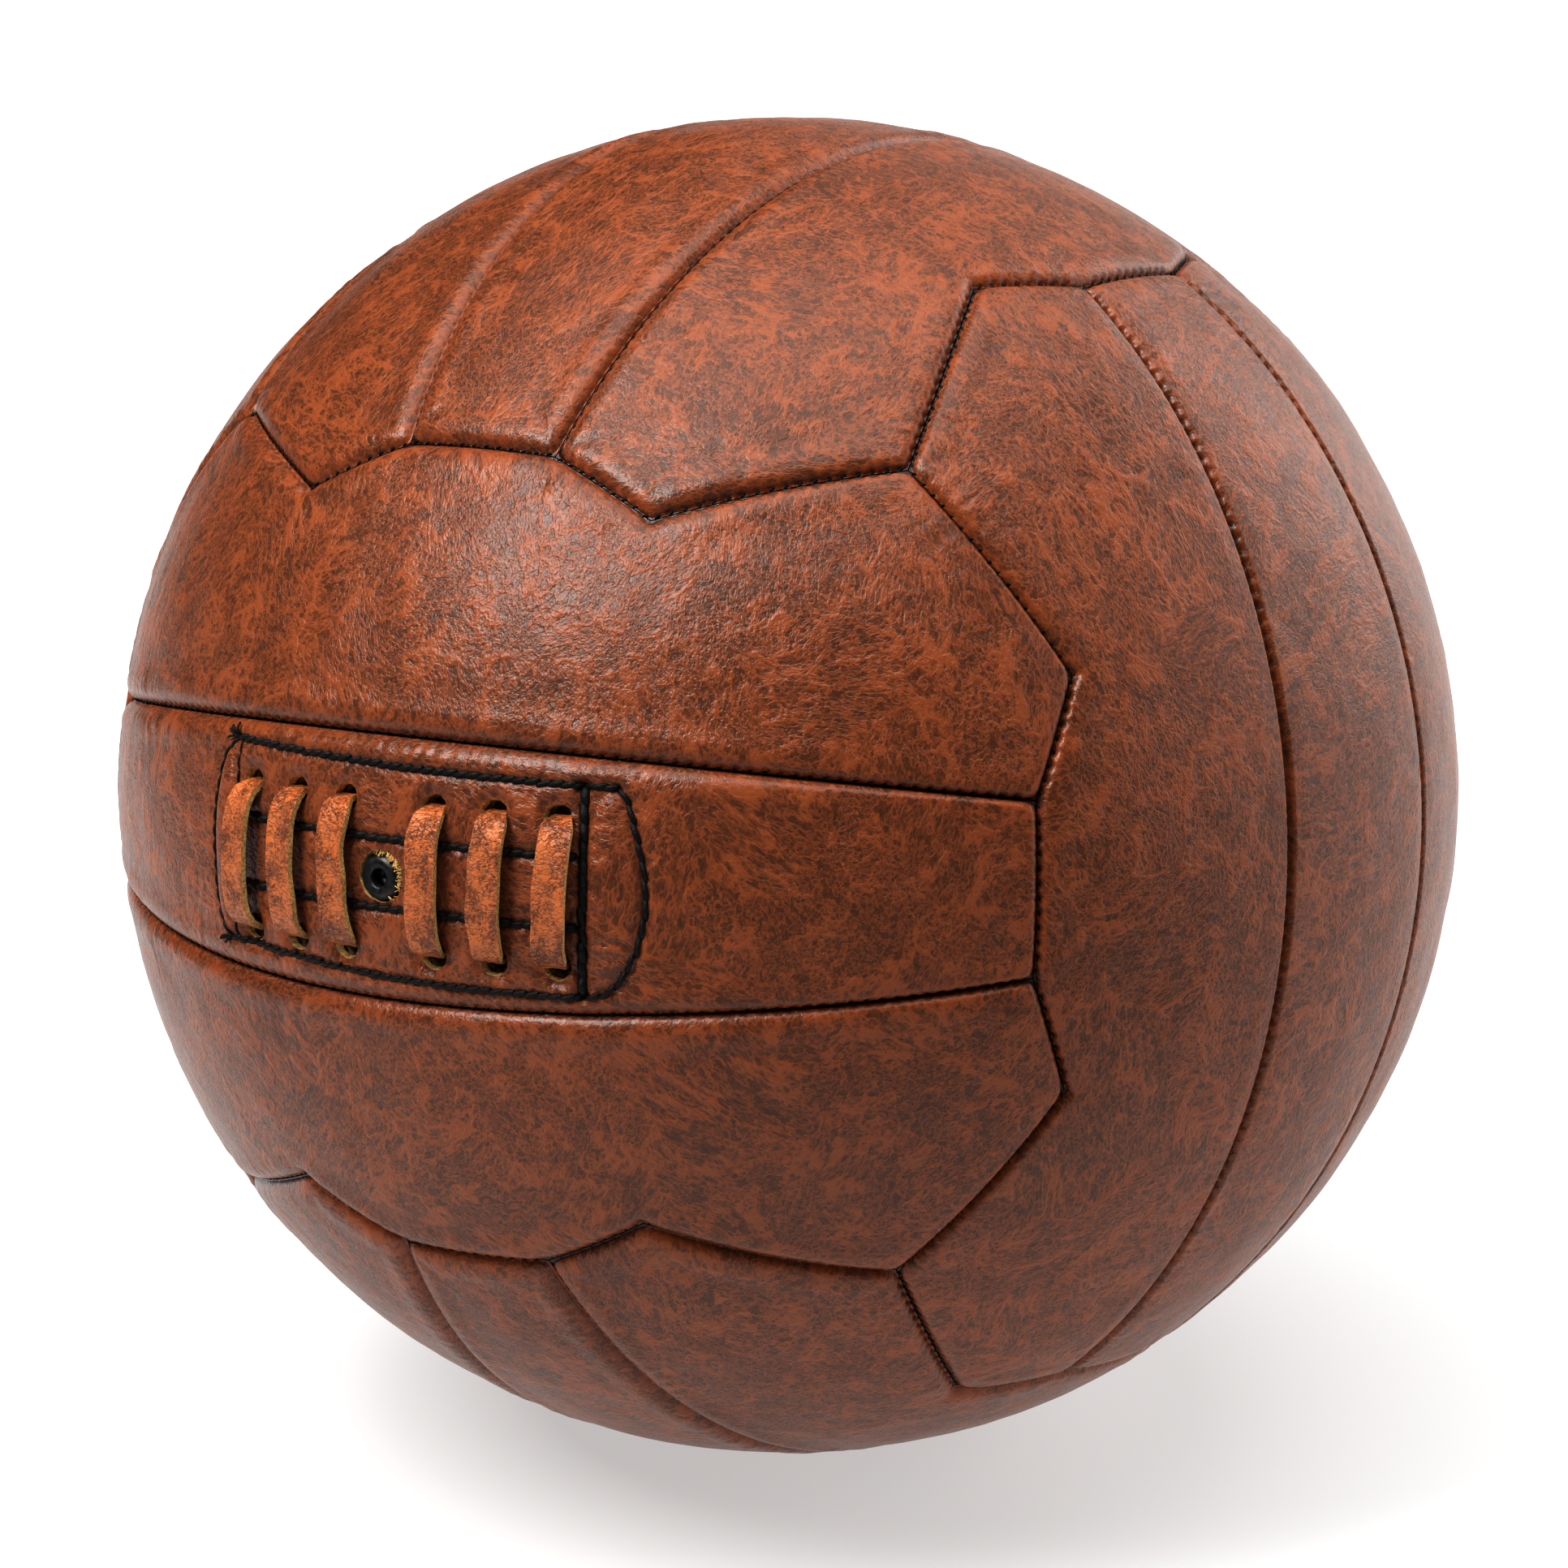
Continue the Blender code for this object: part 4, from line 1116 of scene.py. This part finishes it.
class Shader:
    """A Principled material and short ways to add nodes to it."""

    def __init__(self, name, **sockets):
        self.material = bpy.data.materials.new(name)
        self.material.use_nodes = True
        self.tree = self.material.node_tree
        self.paint(**sockets)

    def paint(self, **sockets):
        """Set the Principled shader's sockets by name, with _ for a space, and give the material."""
        inputs = self.tree.nodes["Principled BSDF"].inputs
        for socket, value in sockets.items():
            self.set(inputs[socket.replace("_", " ")], value)
        return self.material

    def set(self, socket, value):
        """Link a socket to another, or give it a value."""
        if isinstance(value, bpy.types.NodeSocket):
            self.tree.links.new(value, socket)
        elif isinstance(value, tuple) and len(value) == 3 and len(socket.default_value) == 4:
            socket.default_value = (*value, 1)
        else:
            socket.default_value = value

    def node(self, kind, inputs=(), **settings):
        """A node with its settings and its inputs by name or number."""
        made = self.tree.nodes.new("ShaderNode" + kind)
        for key, value in settings.items():
            setattr(made, key, value)
        for key, value in dict(inputs).items():
            self.set(made.inputs[key], value)
        return made

    def attribute(self, name, output):
        return self.node("Attribute", attribute_name=name).outputs[output]

    def object_place(self):
        return self.node("TexCoord").outputs["Object"]

    def math(self, operation, *values):
        return self.node("Math", dict(enumerate(values)), operation=operation).outputs[0]

    def weighted(self, *terms):
        """The sum of (value, weight) terms."""
        total = None
        for value, weight in terms:
            part = self.math("MULTIPLY", value, weight)
            total = part if total is None else self.math("ADD", total, part)
        return total

    def vector(self, operation, *values):
        return self.node("VectorMath", dict(enumerate(values)), operation=operation).outputs[0]

    def noise(self, vector, scale, detail=2.0, roughness=0.5):
        inputs = {"Vector": vector, "Scale": scale, "Detail": detail, "Roughness": roughness}
        return self.node("TexNoise", inputs)

    def spread(self, value, low, high, out_low=0.0, out_high=1.0):
        inputs = {0: value, 1: low, 2: high, 3: out_low, 4: out_high}
        return self.node("MapRange", inputs, interpolation_type="SMOOTHSTEP").outputs[0]

    def mix(self, share, first, second):
        return self.node("Mix", {0: share, 6: first, 7: second}, data_type="RGBA").outputs[2]

    def bump(self, height, distance, strength=1.0):
        return self.node("Bump", {"Height": height, "Distance": distance, "Strength": strength}).outputs[0]


def warped(shader, place, size, amount, detail=2.0):
    """Coordinates pushed about by noise: size and amount in mm."""
    push = shader.noise(place, 1 / size, detail).outputs["Color"]
    push = shader.vector("SUBTRACT", push, (0.5, 0.5, 0.5))
    return shader.vector("ADD", place, shader.vector("MULTIPLY", push, (amount, amount, amount)))


def ridges(shader, value, width):
    """Thin lines where a noise passes its middle: 1 on them, 0 beyond width."""
    return shader.spread(shader.math("ABSOLUTE", shader.math("SUBTRACT", value, 0.5)), width, 0.0)


def blend(shader, share, first, second):
    """A number between two, by share."""
    return shader.math("ADD", first, shader.math("MULTIPLY", share, shader.math("SUBTRACT", second, first)))


def brushed(shader, flow, masks, scale, stretch, detail):
    """Noise drawn out in one of three directions, chosen by two masks."""
    found = []
    for axis in range(3):
        factors = [1.0, 1.0, 1.0]
        factors[axis] = stretch
        drawn_out = shader.vector("MULTIPLY", flow, tuple(factors))
        found.append(shader.noise(drawn_out, scale, detail, 0.58).outputs[0])
    return blend(shader, masks[1], blend(shader, masks[0], found[0], found[1]), found[2])


def cover_leather():
    """Brown synthetic leather: a rust network over dark cells, a fine grain, and seams with a band of painted
    light beside them, rubbed lighter specks, and a groove darkened by dye and dirt and by painted shade.
    """
    shader = Shader("cover_leather", IOR=1.48, Specular_IOR_Level=0.35)
    hide = shader.attribute("hide", "Vector")
    seam = shader.attribute("seam_mm", "Fac")
    flow = warped(shader, warped(shader, hide, 38, 13), 8, 1.6)
    masks = [shader.spread(shader.noise(hide, size, 1.0).outputs[0], 0.46, 0.54) for size in (0.042, 0.034)]
    cells = brushed(shader, flow, masks, 0.78, 0.45, 2.0)
    wisps = brushed(shader, flow, masks, 1.4, 0.45, 2.0)
    network = shader.math("MULTIPLY", ridges(shader, wisps, 0.11), 0.55)
    network = shader.math("MAXIMUM", network, ridges(shader, cells, 0.085))
    clouds = shader.noise(hide, 0.036, 3.0, 0.55).outputs[0]
    blotches = shader.noise(flow, 0.15, 3.0, 0.6).outputs[0]
    grain = shader.noise(flow, 1.35, 3.0, 0.55).outputs[0]
    long_creases = ridges(shader, brushed(shader, flow, masks, 0.12, 0.25, 2.0), 0.04)
    short_creases = ridges(shader, brushed(shader, hide, masks, 0.34, 0.3, 2.0), 0.065)
    creases = shader.weighted((long_creases, 1), (short_creases, 0.7))
    creases = shader.math("MULTIPLY", creases, shader.spread(blotches, 0.42, 0.55))
    tone = shader.weighted(
        (cells, 0.42), (grain, 0.22), (clouds, 0.22), (blotches, 0.24), (network, 0.4), (creases, 0.32),
    )
    light = shader.spread(tone, 0.46, 1.14)
    colour = shader.mix(light, (0.086, 0.0305, 0.0152), (0.252, 0.0725, 0.0255))
    # Painted light: an orange band in patches beside the seams, where their rolled shoulders catch the light.
    patchy = shader.spread(blotches, 0.4, 0.62, 0.0, 0.6)
    glow = shader.math("MULTIPLY", shader.spread(seam, 2.4, 0.5), patchy)
    colour = shader.mix(glow, colour, (0.225, 0.055, 0.015))
    worn = shader.math("MULTIPLY", shader.spread(seam, 1.0, 0.45), shader.spread(grain, 0.52, 0.66))
    colour = shader.mix(shader.math("MULTIPLY", worn, 0.45), colour, (0.46, 0.19, 0.10))
    # Painted shade, together with dye and dirt: the seam's groove darkened almost to black.
    colour = shader.mix(shader.spread(seam, 0.5, 0.12), colour, (0.04, 0.011, 0.005))
    rough = shader.weighted((light, 0.05), (grain, 0.2), (shader.spread(seam, 1.0, 5.0, 0.155, 0.185), 1))
    height = shader.weighted((wisps, 0.6), (network, 0.22), (grain, 0.7), (creases, 0.3))
    bump = shader.bump(height, 0.00018, shader.spread(seam, 0.5, 5.0, 0.5, 1.0))
    return shader.paint(Base_Color=colour, Roughness=rough, Normal=bump)


def fibrous(name, grain, levels, colours, rough, bump, **sockets):
    """A material of fine fibres.

    grain is their noise's scale, detail and roughness, levels are where it turns from the first
    colour to the second, rough is one roughness or two for the fibres, and bump is in metres.
    """
    shader = Shader(name, **sockets)
    fibre = shader.noise(shader.object_place(), *grain).outputs[0]
    colour = shader.mix(shader.spread(fibre, *levels), *colours)
    if isinstance(rough, tuple):
        rough = shader.spread(fibre, 0.3, 0.7, *rough)
    return shader.paint(Base_Color=colour, Roughness=rough, Normal=shader.bump(fibre, bump))


def raw_edge():
    """The cut edge of the leather and the strap: fibrous tan."""
    colours = (0.34, 0.19, 0.055), (0.80, 0.55, 0.22)
    return fibrous("raw_edge", (2600, 4.0, 0.7), (0.35, 0.65), colours, 0.85, 0.0002)


def black_thread():
    """Waxed black thread."""
    colours = (0.0025, 0.002, 0.002), (0.010, 0.009, 0.009)
    levels, rough = (0.3, 0.7), (0.35, 0.6)
    return fibrous("black_thread", (3800, 3.0, 0.6), levels, colours, rough, 0.00012, Specular_IOR_Level=0.2)


def soft_rubber(name, dark, light, roughness):
    """Matt rubber with a faint bloom."""
    rough = (roughness - 0.08, roughness + 0.1)
    return fibrous(name, (900, 3.0, 0.6), (0.35, 0.7), (dark, light), rough, 0.0001)


def lace_leather():
    """Orange-brown strap leather with dark cross wrinkles and mottling."""
    shader = Shader("lace_leather", Specular_IOR_Level=0.45)
    strap = shader.attribute("strap", "Vector")
    flow = warped(shader, strap, 5, 2.4)
    wrinkles = shader.noise(shader.vector("MULTIPLY", flow, (1.0, 0.38, 1.0)), 1.3, 3.0, 0.62).outputs[0]
    cracks = ridges(shader, wrinkles, 0.055)
    mottle = shader.noise(flow, 2.0, 3.0, 0.65).outputs[0]
    clouds = shader.noise(strap, 0.2, 2.0).outputs[0]
    light = shader.spread(shader.weighted((mottle, 1), (clouds, 1), (cracks, -0.12)), 0.70, 1.15)
    colour = shader.mix(light, (0.14, 0.036, 0.011), (0.50, 0.150, 0.040))
    rough = shader.spread(mottle, 0.35, 0.65, 0.46, 0.3)
    bump = shader.bump(shader.weighted((mottle, 0.7), (cracks, -0.5)), 0.0003)
    return shader.paint(Base_Color=colour, Roughness=rough, Normal=bump)


def woven_cloth(name, dark, light):
    """Plain woven cotton backing."""
    shader = Shader(name, Roughness=0.9)
    place = shader.object_place()
    fibre = shader.noise(place, 1800, 3.0, 0.6).outputs[0]
    threads = []
    for turn in ((1.0, 0.2, 0.1), (-0.1, 0.3, 1.0)):
        lean = shader.vector("MULTIPLY", place, turn)
        inputs = {"Vector": lean, "Scale": 420.0, "Distortion": 0.6, "Detail": 1.0}
        threads.append(shader.node("TexWave", inputs, bands_direction="DIAGONAL").outputs["Fac"])
    weave = shader.weighted((shader.math("MAXIMUM", *threads), 0.7), (fibre, 0.3))
    colour = shader.mix(shader.spread(weave, 0.3, 0.8), dark, light)
    return shader.paint(Base_Color=colour, Normal=shader.bump(weave, 0.0003))


def white_floor():
    """A white studio floor that glows a little, so that shadows on it stay pale.

    Far to the left and in front of the ball it turns dark, as if flagged off, which keeps its
    reflection off the ball.
    """
    shader = Shader("studio_floor", Roughness=0.9, Emission_Color=(1.0, 1.0, 1.0))
    place = shader.object_place()
    x, y, _ = shader.node("SeparateXYZ", {0: place}).outputs
    shade = shader.math("MULTIPLY", shader.spread(x, -0.6, -0.3, 0.2), shader.spread(y, -0.5, -0.16, 0.3))
    colour = shader.mix(shade, (0.0, 0.0, 0.0), (0.37, 0.37, 0.37))
    reach = shader.node("VectorMath", {0: place}, operation="LENGTH").outputs["Value"]
    glow = shader.math("MULTIPLY", shader.spread(reach, 0.1, 1.2, 0.58, 0.8), shade)
    return shader.paint(Base_Color=colour, Emission_Strength=glow)


# The studio


def add_camera():
    """The camera looks at the ball's centre from the front and a little above."""
    distance = CAMERA_DISTANCE * RADIUS * MM
    data = bpy.data.cameras.new("camera")
    data.sensor_width = 36
    data.lens = CAMERA_LENS
    data.shift_x, data.shift_y = CAMERA_SHIFT
    camera = bpy.data.objects.new("camera", data)
    camera.location = (0, -distance * math.cos(CAMERA_ELEVATION), distance * math.sin(CAMERA_ELEVATION))
    camera.rotation_euler = (math.pi / 2 - CAMERA_ELEVATION, 0, 0)
    bpy.context.scene.collection.objects.link(camera)
    bpy.context.scene.camera = camera


def add_light(name, direction, distance, size, power):
    """A square soft light that faces the ball."""
    data = bpy.data.lights.new(name, "AREA")
    data.size = size
    data.energy = power
    light = bpy.data.objects.new(name, data)
    light.location = Vector(direction).normalized() * distance
    light.rotation_euler = Vector(direction).to_track_quat("Z", "Y").to_euler()
    bpy.context.scene.collection.objects.link(light)


def add_studio(floor_z):
    """Floor, lights, world and the plain tone curve."""
    mesh = bpy.data.meshes.new("floor")
    reach = 6.0
    corners = [(reach * x, reach * y, floor_z) for x, y in ((-1, -1), (1, -1), (1, 1), (-1, 1))]
    mesh.from_pydata(corners, [], [(0, 1, 2, 3)])
    mesh.materials.append(white_floor())
    floor = bpy.data.objects.new("floor", mesh)
    bpy.context.scene.collection.objects.link(floor)
    floor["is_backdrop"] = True
    for name, light in LIGHTS.items():
        add_light(name, *light)
    world = bpy.data.worlds.new("studio_world")
    world.use_nodes = True
    sky = world.node_tree.nodes["Background"].inputs
    sky["Color"].default_value = (1, 1, 1, 1)
    sky["Strength"].default_value = SKY_STRENGTH
    scene = bpy.context.scene
    scene.world = world
    scene.view_settings.view_transform = "Standard"
    scene.view_settings.gamma = TONE_GAMMA


def build():
    """Everything round the frame."""
    leather, edge, thread = cover_leather(), raw_edge(), black_thread()
    add_camera()
    add_covers(leather, edge)
    add_seam_threads(thread)
    add_mouth_stitches(thread)
    add_lace(lace_leather(), edge)
    add_valve(soft_rubber("valve_rubber", (0.004, 0.004, 0.005), (0.010, 0.010, 0.012), 0.4))
    add_frays(edge)
    add_linings(woven_cloth("lining_textile", (0.26, 0.20, 0.10), (0.42, 0.34, 0.18)))
    add_bladder(soft_rubber("bladder_butyl", (0.012, 0.012, 0.013), (0.03, 0.03, 0.032), 0.5))
    dress_tongue(woven_cloth("tongue_textile", (0.50, 0.40, 0.17), (0.85, 0.70, 0.33)))
    add_studio(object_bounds()[0].z)


build()
